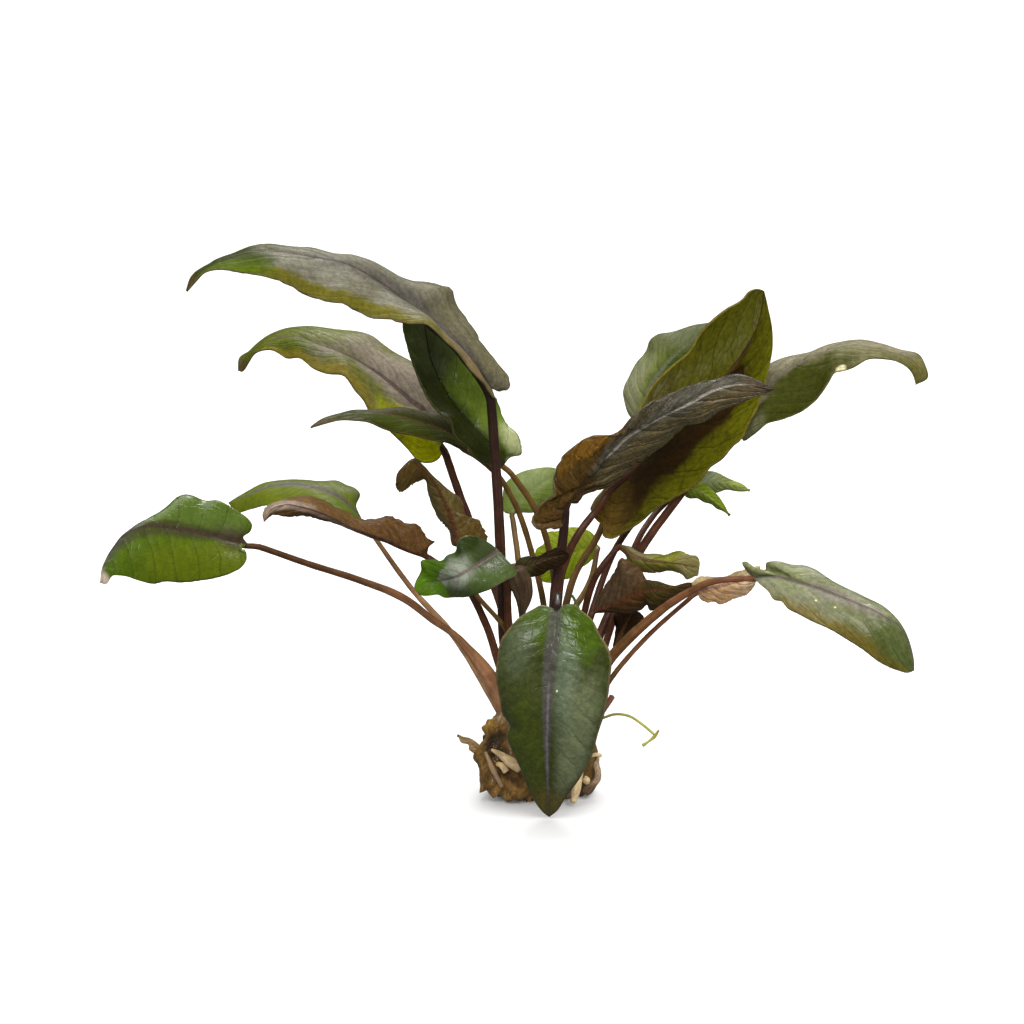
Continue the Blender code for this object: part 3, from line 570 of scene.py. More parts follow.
leaf(
    "upper_left", UPPER_LEFT_SKIN, DARK_STALK_SKIN, slot="grey_green_leaf", thick=(2.7, 2.3),
    rib_depth=(-8, -10, -15, -24, -30), width=29, away_right=(0.6, 1, 1, 1), away_left=(-1, -1, -1, -0.8),
    quilt=0.14, side_veins=6.0, sweep=0.55, ragged=0.11, lumps=1.6,
    stalk=[(-5.5, -3.0, 19.0), (-8.6, -5, 38.7), (-9.1, -7, 51.5), (-9.8, -8, 68.5), (-10.8, -8, 85.3)],
    rib=[(-12.0, 97.7), (-16.3, 103.4), (-20.4, 108.7), (-24.7, 112.1), (-28.8, 115.4), (-35.3, 120.7),
        (-41.0, 124.6), (-46.8, 127.7), (-54.5, 129.1), (-62.4, 130.3), (-69.6, 130.3), (-78.0, 127.9),
        (-85.0, 121.0)],
    right=[(-9.6, 96.7), (-7.0, 97.7), (-7.0, 99.6), (-9.6, 103.2), (-14.4, 109.2), (-17.5, 113.5),
        (-19.9, 117.4), (-21.1, 121.7), (-24.0, 122.6), (-32.2, 124.3), (-39.1, 127.0), (-43.7, 128.6),
        (-50.6, 129.6), (-60.7, 131.3), (-71.3, 131.0), (-78.7, 128.6), (-83.8, 124.6)],
    left=[(-10.6, 94.8), (-12.5, 97.2), (-17.3, 103.2), (-22.1, 108.5), (-27.4, 113.0), (-33.6, 113.3),
        (-39.4, 114.0), (-43.2, 115.2), (-46.8, 116.9), (-52.6, 118.6), (-61.0, 122.4), (-68.2, 125.3),
        (-72.0, 125.8), (-80.4, 125.5)])

# The second leaf on the left arches behind the first. It is grey-green on top, its grey partly a painted
# sheen, with a patch of clean green near its middle, and its edge is torn and brown in places. Its
# yellow-green lower lobes are painted light shining through them, and its pinkish grey near the stalk is
# painted lighter against the shadow of the upper left leaf.
LEFT_GREY_SKIN = blade_skin(
    "left_grey_skin", main=(0.22, 0.195, 0.125), patch=(0.15, 0.165, 0.04), rib=(0.13, 0.09, 0.075),
    vein=(0.1, 0.095, 0.05), rim=(0.16, 0.115, 0.03), under=(0.1, 0.11, 0.03), patch_share=0.5, sweep=0.45,
    relief=0.25, streak=0.1, grain=0.2, patch_scale=95.0, gloss=0.05, coat=0.02,
    zones=((0.5, 0.88, 0.7, 0.24, (0.095, 0.115, 0.005), 0.92, 0.3),
           (0.24, 0.42, 0.14, 0.16, (0.16, 0.17, 0.02), 0.8, 0.5),
           (0.04, 0.19, 0.36, 0.17, (0.38, 0.39, 0.003), 0.95, 0.25),
           (0.12, 0.12, 0.3, 0.09, (0.62, 0.64, 0.003), 0.95, 0.3),
           (0.0, 0.6, 0.18, 0.28, (0.26, 0.2, 0.02), 0.85, 0.35),
           (0.62, 0.24, 0.26, 0.28, (0.36, 0.29, 0.225), 0.85, 0.5),
           (0.5, 1.0, 0.6, 0.05, (0.12, 0.07, 0.035), 0.9, 0.4)))
RED_STALK_SKIN = stem_skin(
    "red_stalk_skin", low=(0.14, 0.054, 0.028), high=(0.065, 0.023, 0.01), streak=(0.045, 0.014, 0.006))
leaf(
    "left_grey", LEFT_GREY_SKIN, RED_STALK_SKIN, slot="grey_green_leaf", thick=(2.4, 1.9),
    rib_depth=(15, 16, 18, 20, 23), width=24, away_right=(0.7, 1, 1), away_left=(-1, -1, -0.7),
    stalk=[(-5.5, 3.0, 19.0), (-7.2, 5, 36.6), (-13.3, 9, 55.6), (-18.1, 12, 67.4)],
    rib=[(-23.5, 84.2), (-27.8, 92.2), (-31.7, 95.3), (-38.4, 100.8), (-45.6, 105.1), (-52.8, 108.0),
        (-60.7, 110.2), (-66.7, 108.7), (-72.5, 101.8)],
    right=[(-21.6, 86.2), (-21.1, 91.2), (-24.0, 98.4), (-27.6, 102.0), (-31.0, 104.4), (-36.0, 107.3),
        (-41.0, 110.6), (-48.7, 111.8), (-56.2, 112.6), (-60.5, 112.1), (-64.3, 110.6), (-69.6, 106.8),
        (-72.2, 104.9)],
    left=[(-24.0, 80.9), (-25.4, 79.9), (-28.8, 79.9), (-31.9, 83.0), (-36.2, 87.6), (-41.0, 92.2),
        (-42.0, 94.6), (-43.9, 97.0), (-46.8, 100.6), (-51.4, 101.0), (-54.2, 102.2), (-58.1, 104.9),
        (-60.5, 104.6), (-64.3, 106.8), (-68.4, 106.1), (-70.3, 103.4), (-71.5, 101.5)])

# A narrow olive leaf that is seen nearly from its edge, browner toward its tip. Its stalk is slender and
# golden brown, and its thin blade grows out of it.
LEFT_NARROW_SKIN = blade_skin(
    "left_narrow_skin", main=(0.042, 0.046, 0.007), patch=(0.035, 0.044, 0.005), rib=(0.1, 0.05, 0.022),
    vein=(0.035, 0.035, 0.008), rim=(0.12, 0.09, 0.035), under=(0.09, 0.09, 0.02), rib_width=0.7,
    relief=0.3, gloss=0.05, coat=0.03,
    zones=((0.5, 0.97, 0.6, 0.14, (0.11, 0.085, 0.045), 0.9, 0.4),
           (0.85, 0.4, 0.25, 0.5, (0.09, 0.08, 0.045), 0.6, 0.5),
           (0.3, 0.5, 0.2, 0.2, (0.05, 0.065, 0.004), 0.7, 0.4)))
GOLDEN_STALK_SKIN = stem_skin(
    "golden_stalk_skin", low=(0.1, 0.055, 0.022), high=(0.19, 0.105, 0.025), streak=(0.08, 0.035, 0.009))
leaf(
    "left_narrow", LEFT_NARROW_SKIN, GOLDEN_STALK_SKIN, slot="brown_leaf", thick=(1.7, 1.3),
    rib_depth=(9.5, 5, -1, -8, -13, -16), width=16, away_right=1, away_left=-1,
    stalk=[(-2.5, 3.0, 19.0), (1.3, 7, 41.3), (-1.6, 10, 56.0), (-6.2, 11, 69.5), (-9.6, 11, 75.4)],
    rib=[(-17.3, 82.8), (-21.8, 86.9), (-28.6, 89.5), (-36.7, 91.4), (-46.1, 91.0), (-51.6, 90.0),
        (-55.2, 88.3)],
    right=[(-18.2, 87.1), (-22.3, 91.2), (-27.4, 92.4), (-34.1, 92.9), (-40.6, 92.2), (-46.6, 91.9),
        (-51.6, 90.7)],
    left=[(-18.7, 83.0), (-22.3, 84.5), (-29.5, 85.9), (-37.0, 87.8), (-42.0, 89.8), (-46.6, 90.5),
        (-51.6, 89.3)])

# A deep green leaf hangs behind the upper left one, its edges curled and its blade quilted by the veins.
# Its right margin is pale near the stalk.
LEFT_DEEP_SKIN = blade_skin(
    "left_deep_green_skin", main=(0.05, 0.07, 0.006), patch=(0.03, 0.04, 0.004), rib=(0.02, 0.022, 0.006),
    vein=(0.016, 0.02, 0.004), rim=(0.05, 0.05, 0.012), under=(0.06, 0.08, 0.02), roughness=0.26,
    relief=0.35, streak=0.04,
    zones=((0.86, 0.4, 0.3, 0.28, (0.16, 0.235, 0.02), 0.9, 0.4),
           (1.0, 0.14, 0.22, 0.12, (0.36, 0.38, 0.18), 0.85, 0.4),
           (0.12, 0.35, 0.34, 0.34, (0.014, 0.016, 0.002), 0.9, 0.3),
           (0.6, 0.78, 0.4, 0.2, (0.085, 0.1, 0.035), 0.8, 0.5)))
leaf(
    "left_deep_green", LEFT_DEEP_SKIN, GOLDEN_STALK_SKIN, slot="green_leaf", thick=(1.8, 1.4),
    rib_depth=(0, 1, 2, 3, 4, 5), width=22, away_right=(0.6, 0.6, 0.7), away_left=(-0.8, -0.9, -0.6),
    ragged=0.07,
    stalk=[(0.0, -0.5, 20.0), (3.9, 2, 42.2), (1.9, 3, 60.5), (-0.7, 3, 68.3), (-5.3, 1, 76.0)],
    rib=[(-8.6, 79.2), (-12.5, 84.2), (-16.3, 88.6), (-19.2, 91.9), (-23.0, 97.4), (-26.4, 105.1),
        (-27.8, 112.8), (-30.2, 119.5)],
    right=[(-7.2, 80.9), (-4.3, 81.8), (-4.3, 84.0), (-5.3, 86.6), (-7.9, 89.0), (-9.6, 93.4),
        (-11.6, 97.8), (-16.2, 103.8), (-21.0, 109.3), (-26.0, 114.2)],
    left=[(-12.5, 79.4), (-15.6, 80.9), (-16.8, 83.0), (-20.4, 86.4), (-21.8, 90.0), (-24.0, 91.4),
        (-26.6, 95.0), (-28.8, 98.9), (-31.4, 106.3), (-33.1, 112.8), (-32.2, 116.9)])

# The leaf far to the left is the brightest: clean green, its edge turned up like the rim of a spoon. Its
# clean green is partly painted light shining through it, brightest along its lower margin, and a greyish
# green patch on its upper half is a painted sheen. Its stalk widens toward the crown into a pinkish brown
# sheath.
FAR_LEFT_SKIN = blade_skin(
    "far_left_green_skin", main=(0.066, 0.108, 0.002), patch=(0.045, 0.075, 0.002), rib=(0.05, 0.032, 0.02),
    vein=(0.03, 0.042, 0.004), rim=(0.12, 0.12, 0.015), under=(0.1, 0.15, 0.02), sweep=0.08, side_veins=8.0,
    rib_width=1.2, vein_share=0.4, roughness=0.22, net_share=0.1, gloss=0.2, coat=0.3, relief=0.4,
    patch_scale=110.0,
    zones=((0.8, 0.4, 0.28, 0.35, (0.08, 0.125, 0.02), 0.7, 0.5),
           (0.1, 0.35, 0.25, 0.35, (0.105, 0.135, 0.002), 0.8, 0.4),
           (0.5, 0.0, 0.3, 0.2, (0.06, 0.038, 0.03), 0.9, 0.45),
           (0.5, 0.4, 0.09, 0.5, (0.045, 0.042, 0.014), 0.8, 0.4),
           (0.66, 0.88, 0.24, 0.26, (0.055, 0.06, 0.04), 0.85, 0.4),
           (0.2, 1.0, 0.6, 0.07, (0.46, 0.36, 0.29), 0.9, 0.3)))
SHEATH_STALK_SKIN = stem_skin(
    "sheath_stalk_skin", low=(0.52, 0.3, 0.15), high=(0.24, 0.12, 0.045), streak=(0.24, 0.11, 0.035),
    streaks=0.6, turns=2.0, run=1.5)
FAR_LEFT_STALK_SKIN = stem_skin(
    "far_left_stalk_skin", low=(0.46, 0.225, 0.11), high=(0.055, 0.024, 0.01), streak=(0.13, 0.055, 0.018),
    streaks=0.5, turns=1.5, run=1.5)
leaf(
    "far_left_green", FAR_LEFT_SKIN, FAR_LEFT_STALK_SKIN, slot="green_leaf",
    thick=(2.6, 4.1, 3.4, 1.7, 1.8, 2.0, 1.8, 1.7, 1.6, 1.5), flat=0.7, rib_depth=(-22, -25, -29, -34, -42),
    width=26, away_right=(0.5, 0.8, 1), away_left=-0.6,
    stalk=[(-8.0, -5.0, 17.0), (-9.9, -8, 26.5), (-13.2, -9, 32.2), (-16.5, -10, 36.6), (-21.0, -12, 41.9),
        (-24.8, -13, 44.7), (-32.5, -16, 51.2), (-42.6, -18, 55.8), (-54.2, -20, 60.0),
        (-65.8, -21.5, 64.4)],
    rib=[(-70.3, 60.5), (-74.9, 61.4), (-79.4, 62.4), (-87.1, 63.8), (-93.8, 64.6), (-98.2, 63.6),
        (-102.2, 59.5), (-105.1, 54.5), (-105.6, 50.9)],
    right=[(-71.2, 61.9), (-69.5, 63.2), (-69.0, 64.8), (-70.1, 66.5), (-72.0, 67.9), (-74.9, 69.6),
        (-77.5, 70.8), (-80.4, 70.8), (-82.8, 71.8), (-85.2, 72.2), (-87.1, 71.5), (-89.0, 69.8),
        (-91.4, 67.7), (-94.3, 64.6), (-98.2, 62.9), (-102.2, 58.1), (-104.6, 53.8)],
    left=[(-71.8, 58.6), (-70.8, 57.8), (-70.6, 56.4), (-71.5, 54.7), (-73.9, 53.3), (-77.5, 52.1),
        (-81.4, 51.4), (-85.7, 50.9), (-90.5, 51.1), (-92.4, 50.6), (-96.2, 51.4), (-99.8, 52.6),
        (-102.5, 52.6), (-104.2, 50.6)])

# A light green leaf stands behind it, grey where it shines, a sheen painted as a grey streak along its rib.
# Its blade is thin and nearly smooth, with a greyish rib, and its stalk thin and pale.
LEFT_LIGHT_SKIN = blade_skin(
    "left_light_green_skin", main=(0.135, 0.165, 0.008), patch=(0.105, 0.135, 0.01), rib=(0.11, 0.09, 0.07),
    vein=(0.09, 0.12, 0.015), rim=(0.15, 0.16, 0.06), under=(0.13, 0.16, 0.04), gloss=0.06, coat=0.05,
    relief=0.25,
    zones=((0.52, 0.5, 0.1, 0.45, (0.15, 0.14, 0.1), 0.8, 0.5),
           (0.9, 0.4, 0.2, 0.5, (0.15, 0.18, 0.06), 0.7, 0.5),
           (0.1, 0.1, 0.4, 0.2, (0.11, 0.16, 0.01), 0.8, 0.4)))
leaf(
    "left_light_green", LEFT_LIGHT_SKIN, SHEATH_STALK_SKIN, slot="green_leaf", thick=(2.0, 1.1),
    rib_depth=(16, 18, 20, 22, 25), width=19, away_right=(0.8, 1, 1), away_left=-1,
    stalk=[(-9.0, -0.5, 19.0), (-21.2, 6, 37.8), (-31.1, 10, 48.2), (-40.2, 15, 59.9)],
    rib=[(-42.7, 66.0), (-45.4, 69.1), (-48.7, 71.5), (-53.5, 73.7), (-62.9, 74.4), (-67.7, 73.0),
        (-72.0, 71.3), (-74.9, 70.1)],
    right=[(-44.2, 68.9), (-43.2, 72.5), (-44.4, 73.7), (-46.3, 74.4), (-48.7, 75.6), (-52.1, 75.1),
        (-58.1, 75.6), (-62.9, 75.1), (-67.2, 74.2), (-71.0, 72.5)],
    left=[(-45.6, 65.8), (-50.4, 67.7), (-57.6, 68.6), (-62.4, 69.1), (-66.7, 69.4), (-69.6, 68.6),
        (-72.5, 67.7)])

# A brown leaf past its best is folded along its rib, its upper half dark and its lower half pinkish. Its
# margins have gone ragged.
LEFT_BROWN_SKIN = blade_skin(
    "left_brown_skin", main=(0.12, 0.06, 0.02), patch=(0.085, 0.038, 0.008), rib=(0.05, 0.022, 0.012),
    vein=(0.19, 0.13, 0.09), rim=(0.16, 0.1, 0.05), under=(0.11, 0.065, 0.03), roughness=0.34,
    vein_share=0.3, net_share=0.15, grain=0.2, streak=0.2, gloss=0.1, coat=0.12,
    zones=((0.56, 0.86, 0.18, 0.15, (0.36, 0.27, 0.21), 0.85, 0.5),
           (0.44, 0.62, 0.07, 0.34, (0.34, 0.25, 0.19), 0.7, 0.5),
           (0.9, 0.66, 0.26, 0.24, (0.13, 0.07, 0.014), 0.9, 0.35),
           (0.85, 0.2, 0.4, 0.22, (0.095, 0.045, 0.012), 0.8, 0.4),
           (0.8, 0.92, 0.4, 0.08, (0.3, 0.23, 0.16), 0.8, 0.4)))
leaf(
    "left_brown", LEFT_BROWN_SKIN, RED_STALK_SKIN, slot="brown_leaf", thick=(2.2, 1.6),
    rib_depth=(-3, -5, -8, -11, -14, -17), width=19, away_right=(0.5, 0.7, 0.7), away_left=1, ragged=0.22,
    stalk=[(-6.0, -6.5, 19.0), (-9.6, -8, 32.5), (-13.4, -8, 44.2), (-18.0, -6, 52.3)],
    rib=[(-25.9, 56.4), (-32.4, 58.6), (-37.4, 61.0), (-40.8, 62.2), (-45.8, 64.3), (-50.4, 66.7),
        (-56.6, 68.9), (-61.7, 69.6), (-64.8, 68.2), (-66.2, 65.5)],
    right=[(-26.9, 57.8), (-26.6, 59.5), (-25.0, 61.0), (-26.2, 61.4), (-27.6, 63.1), (-29.3, 65.3),
        (-31.9, 65.3), (-33.4, 66.2), (-35.8, 67.2), (-39.1, 66.7), (-43.2, 66.5), (-45.8, 67.9),
        (-49.2, 69.6), (-52.8, 71.3), (-56.2, 71.8), (-60.2, 71.5), (-63.6, 70.6), (-65.8, 69.4),
        (-66.7, 67.4)],
    left=[(-28.8, 58.3), (-33.1, 60.5), (-37.4, 62.2), (-42.7, 64.3), (-45.6, 65.0), (-50.4, 65.8),
        (-52.8, 66.0), (-56.6, 66.5), (-61.0, 66.7), (-64.3, 67.0)])

# A small olive brown leaf with a curled tip, wet and streaked. Its margins are nibbled, and it grows on a
# thin golden brown stalk.
LEFT_OLIVE_SKIN = blade_skin(
    "left_small_olive_skin", main=(0.115, 0.085, 0.025), patch=(0.09, 0.05, 0.012), rib=(0.08, 0.03, 0.014),
    vein=(0.045, 0.032, 0.012), rim=(0.15, 0.11, 0.04), under=(0.05, 0.028, 0.008), rib_width=1.1,
    roughness=0.22, coat=0.45, streak=0.2, grain=0.2, relief=0.35,
    zones=((0.5, 0.85, 0.7, 0.22, (0.062, 0.036, 0.006), 0.9, 0.4),
           (0.9, 0.15, 0.3, 0.15, (0.11, 0.065, 0.012), 0.8, 0.4)))
leaf(
    "left_small_olive", LEFT_OLIVE_SKIN, GOLDEN_STALK_SKIN, slot="brown_leaf", thick=(1.3, 1.2, 1.1),
    rib_depth=(2, 3, 3, 1, -3, -7), width=14, away_right=(0.4, 0.8, 0.9), away_left=(0.6, 0.6, -0.3),
    ragged=0.18, tip=(-34.6, 74.2),
    stalk=[(-4.5, -6.0, 21.0), (-8.2, -10.5, 42.3), (-15.5, -9, 51.0), (-18.6, -4, 55.6)],
    rib=[(-19.7, 59.5), (-20.6, 63.6), (-21.8, 67.7), (-23.8, 72.2), (-26.2, 76.1), (-28.6, 78.5),
        (-30.7, 79.7), (-32.9, 78.2), (-34.3, 75.1)],
    right=[(-15.8, 58.8), (-12.7, 61.0), (-12.5, 63.1), (-13.7, 64.6), (-14.4, 66.0), (-17.3, 66.2),
        (-18.0, 68.4), (-19.0, 71.3), (-20.4, 72.2), (-23.0, 74.2), (-25.7, 76.3), (-27.8, 78.7),
        (-30.2, 80.9), (-32.4, 79.4), (-34.3, 77.0)],
    left=[(-20.9, 59.8), (-21.8, 63.1), (-23.8, 65.0), (-25.2, 68.2), (-26.9, 71.5), (-27.8, 75.6),
        (-29.8, 74.6), (-31.4, 73.7), (-33.8, 72.5)])

# A glossy green leaf hangs before the stalks. It shines grey where it faces the light, a sheen painted as a
# whitish grey patch, and it is whitish where its right corner is torn.
FRONT_GLOSSY_SKIN = blade_skin(
    "front_left_glossy_skin", main=(0.062, 0.088, 0.03), patch=(0.045, 0.068, 0.018),
    rib=(0.13, 0.1, 0.085), vein=(0.05, 0.075, 0.02), rim=(0.11, 0.1, 0.05), under=(0.1, 0.14, 0.03),
    roughness=0.2, gloss=0.2, relief=0.3, coat=0.03,
    zones=((0.56, 0.58, 0.3, 0.2, (0.29, 0.31, 0.245), 0.85, 0.4),
           (0.5, 0.16, 0.6, 0.14, (0.045, 0.06, 0.018), 0.85, 0.4),
           (1.0, 0.32, 0.3, 0.13, (0.018, 0.032, 0.003), 0.95, 0.25),
           (0.5, 0.98, 0.9, 0.27, (0.07, 0.15, 0.004), 0.95, 0.05),
           (1.0, 0.8, 0.52, 0.27, (0.07, 0.15, 0.004), 0.95, 0.05),
           (0.1, 0.4, 0.25, 0.35, (0.06, 0.09, 0.02), 0.7, 0.5),
           (0.5, 0.0, 0.6, 0.05, (0.28, 0.26, 0.19), 0.8, 0.4)))
leaf(
    "front_left_glossy", FRONT_GLOSSY_SKIN, RED_STALK_SKIN, slot="green_leaf", thick=(2.2, 1.7),
    rib_depth=(-19, -23, -27, -29, -28, -23, -22, -24), width=18, away_right=0.4,
    away_left=(-0.4, -0.4, -0.3),
    stalk=[(-3.0, -7.0, 19.0), (-6.7, -11, 37.5), (-7.7, -12, 46.2), (-7.9, -13, 54.9)],
    rib=[(-9.8, 58.6), (-12.7, 56.6), (-15.1, 55.2), (-17.3, 53.8), (-20.4, 52.3), (-23.3, 51.6),
        (-26.4, 50.6), (-29.0, 48.2)],
    right=[(-12.7, 61.0), (-14.9, 61.9), (-18.7, 61.9), (-19.7, 61.0), (-20.4, 58.3), (-22.3, 57.4),
        (-23.0, 56.6), (-26.6, 56.4), (-28.6, 56.2), (-28.6, 54.0), (-29.8, 51.4), (-30.2, 49.9)],
    left=[(-7.9, 56.4), (-5.5, 52.8), (-7.0, 52.1), (-12.2, 49.2), (-16.6, 47.8), (-20.9, 47.3),
        (-23.0, 47.3), (-24.5, 48.0), (-26.4, 47.8), (-28.1, 47.8)])

# Beside it a very dark brown leaf has curled up on itself. Its flattened stalk broadens at the top, where
# the blade grows out of it.
FRONT_SMALL_SKIN = blade_skin(
    "front_small_brown_skin", main=(0.02, 0.01, 0.002), patch=(0.013, 0.006, 0.0015),
    rib=(0.05, 0.028, 0.01), vein=(0.02, 0.01, 0.004), rim=(0.07, 0.045, 0.015), under=(0.04, 0.022, 0.008),
    zones=((0.5, 0.1, 0.6, 0.25, (0.05, 0.06, 0.012), 0.6, 0.4),))
OLIVE_STALK_SKIN = stem_skin(
    "olive_stalk_skin", low=(0.08, 0.04, 0.02), high=(0.085, 0.055, 0.03), streak=(0.035, 0.018, 0.01),
    streaks=0.7)
leaf(
    "front_small_brown", FRONT_SMALL_SKIN, OLIVE_STALK_SKIN, slot="brown_leaf", flat=0.4,
    thick=(1.3, 1.2, 1.1, 1.1, 1.1, 1.1, 1.1, 1.4, 4.2, 5.6, 4.8), rib_share=0.25, rib_thick=0.2,
    rib_depth=(-13.5, -13.5, -13), width=7.5, away_right=0.3, away_left=0.3,
    stalk=[(-3.0, -4.5, 20.0), (-3.8, -8, 36.0), (-4.4, -12, 46.0), (-4.0, -13, 51.0)],
    rib=[(-6.0, 55.0), (-3.4, 55.0), (-0.7, 55.9), (2.4, 56.9), (7.0, 57.8)],
    right=[(-4.6, 53.0), (-2.4, 52.3), (0.2, 52.8), (2.2, 54.0), (4.1, 54.5), (5.8, 55.4), (7.0, 57.1)],
    left=[(-5.3, 56.4), (-2.9, 57.4), (-1.0, 57.1), (1.0, 58.1), (2.6, 58.8), (4.3, 59.5), (5.5, 59.0)])

# Two young leaves show through behind the stalks, one pale green and one bright green, on golden stalks.
# Their small, thin blades stand far back; their bright green is partly painted light shining through them.
BACK_PALE_SKIN = blade_skin(
    "back_pale_green_skin", main=(0.18, 0.245, 0.045), patch=(0.15, 0.2, 0.03), rib=(0.22, 0.26, 0.09),
    vein=(0.14, 0.19, 0.03), rim=(0.16, 0.19, 0.06), under=(0.15, 0.18, 0.05), vein_share=0.1,
    net_share=0.02, relief=0.2,
    zones=((0.3, 0.6, 0.3, 0.3, (0.27, 0.32, 0.13), 0.8, 0.5),))
leaf(
    "back_pale_green", BACK_PALE_SKIN, GOLDEN_STALK_SKIN, slot="green_leaf", thick=(1.8, 1.4),
    rib_depth=(42, 44, 46, 48), width=15, away_right=0.2, away_left=0.2,
    stalk=[(-4.0, 7.0, 19.0), (-4.0, 16, 36.0), (-5.0, 29, 50.0)],
    rib=[(-6.7, 67.4), (-4.3, 70.8), (-1.0, 73.9), (5.3, 77.8)],
    right=[(-4.3, 67.7), (-1.4, 67.9), (0.2, 69.8), (3.1, 71.3), (4.6, 73.2), (5.5, 75.6)],
    left=[(-8.4, 67.7), (-8.9, 70.6), (-8.4, 74.6), (-5.0, 77.3), (-2.2, 78.2), (0.7, 78.7), (3.6, 78.5)])
BACK_BRIGHT_SKIN = blade_skin(
    "back_bright_green_skin", main=(0.3, 0.4, 0.006), patch=(0.26, 0.34, 0.006), rib=(0.32, 0.38, 0.03),
    vein=(0.12, 0.18, 0.004), rim=(0.19, 0.24, 0.02), under=(0.16, 0.2, 0.02),
    zones=((0.8, 0.3, 0.3, 0.4, (0.4, 0.46, 0.04), 0.7, 0.5),))
leaf(
    "back_bright_green", BACK_BRIGHT_SKIN, GOLDEN_STALK_SKIN, slot="green_leaf", thick=(1.8, 1.4),
    rib_depth=(33, 34, 35), width=15, away_right=0.2, away_left=-0.2,
    stalk=[(0.0, 7.0, 19.0), (5.0, 15, 36.0), (13.0, 26, 48.0)],
    rib=[(13.9, 59.8), (10.1, 59.0), (6.2, 57.4), (2.4, 55.9), (-0.7, 55.2)],
    right=[(13.0, 62.4), (10.1, 64.1), (7.2, 64.3), (4.1, 63.4), (1.9, 63.1), (1.0, 60.5), (-1.0, 58.8),
        (-1.2, 57.1)],
    left=[(13.2, 57.4), (11.0, 55.2), (8.6, 54.0), (7.4, 52.1), (5.0, 51.6), (1.9, 50.9), (0.2, 51.4)])

# The tip of a new leaf, still rolled up, shows between the stalks. It is a thin, round, dark green shoot
# that grows from the crown and bends over at its end.
SHOOT_SKIN = stem_skin(
    "shoot_skin", low=(0.1, 0.09, 0.04), high=(0.1, 0.15, 0.05), streak=(0.06, 0.06, 0.02))
stem(
    "rolled_shoot", SHOOT_SKIN, "back_bright_green_stalk",
    [(3.0, 2.0, 20.0), (7.0, -4, 38.0), (9.0, -7, 47.0), (8.0, -7, 49.4), (7.4, -7, 50.4)],
    (1.2, 1.1, 1.0, 1.2, 0.6))

# The big leaf rising to the right turns its underside to the front: olive, with a reddish brown rib that
# stands out, and brown near its base where it has begun to wither. The near black patch where the dark leaf
# crosses in front of it is a painted shadow of that leaf, and the yellow-green strip along its right margin
# is painted light shining through the blade.
UPPER_RIGHT_SKIN = blade_skin(
    "upper_right_skin", main=(0.06, 0.055, 0.002), patch=(0.048, 0.04, 0.002), rib=(0.035, 0.015, 0.005),
    vein=(0.022, 0.014, 0.002), rim=(0.24, 0.19, 0.03), under=(0.07, 0.06, 0.03), patch_share=0.4,
    net_share=0.4, vein_share=0.5, grain=0.2, side_veins=8.0, sweep=0.3, rib_width=1.2, rim_share=0.6,
    coat=0.04, relief=0.4, gloss=0.08,
    zones=((0.25, 0.8, 0.28, 0.22, (0.065, 0.066, 0.002), 0.8, 0.5),
           (0.8, 0.8, 0.25, 0.22, (0.085, 0.085, 0.003), 0.8, 0.4),
           (0.71, 0.37, 0.29, 0.4, (0.028, 0.013, 0.003), 0.97, 0.05),
           (0.97, 0.52, 0.14, 0.32, (0.11, 0.11, 0.002), 0.9, 0.35),
           (0.7, 0.04, 0.6, 0.13, (0.11, 0.065, 0.01), 0.8, 0.4),
           (0.3, 0.25, 0.25, 0.2, (0.06, 0.035, 0.006), 0.8, 0.4)))
leaf(
    "upper_right", UPPER_RIGHT_SKIN, RED_STALK_SKIN, slot="brown_leaf", thick=(2.6, 1.7),
    rib_depth=(2, 5, 9, 14, 18, 22), width=38, away_right=(0.6, 0.8, 0.7, 0.1), away_left=(0.6, 0.4, 0.2),
    upper_side=-1, side_veins=8.0, sweep=0.3,
    stalk=[(1.0, -4.0, 19.0), (4.1, -2, 45.4), (5.4, -1, 55.0), (8.6, 0, 62.6)],
    rib=[(13.9, 68.9), (16.3, 72.2), (21.1, 76.6), (26.4, 82.1), (31.7, 87.4), (37.9, 94.1), (46.6, 103.0),
        (49.2, 106.8), (52.1, 112.3), (53.8, 121.0)],
    right=[(13.4, 66.0), (14.9, 64.8), (15.4, 61.9), (16.8, 61.4), (20.4, 62.9), (24.0, 65.3), (27.1, 68.2),
        (32.4, 71.0), (36.0, 73.2), (38.9, 75.8), (40.8, 78.7), (43.7, 80.6), (46.3, 83.5), (48.2, 85.0),
        (50.6, 89.5), (52.3, 93.1), (52.8, 95.3), (54.0, 98.6), (54.7, 101.3), (55.9, 106.3), (55.9, 111.8),
        (54.7, 117.4)],
    left=[(12.0, 68.4), (13.0, 70.8), (15.1, 73.2), (17.8, 77.0), (20.4, 85.2), (22.6, 90.5), (24.7, 94.3),
        (25.7, 96.7), (28.3, 100.1), (31.7, 103.0), (36.0, 106.8), (37.9, 110.2), (40.3, 113.0),
        (44.4, 116.4), (49.0, 119.3), (49.9, 120.5), (52.1, 121.4)])
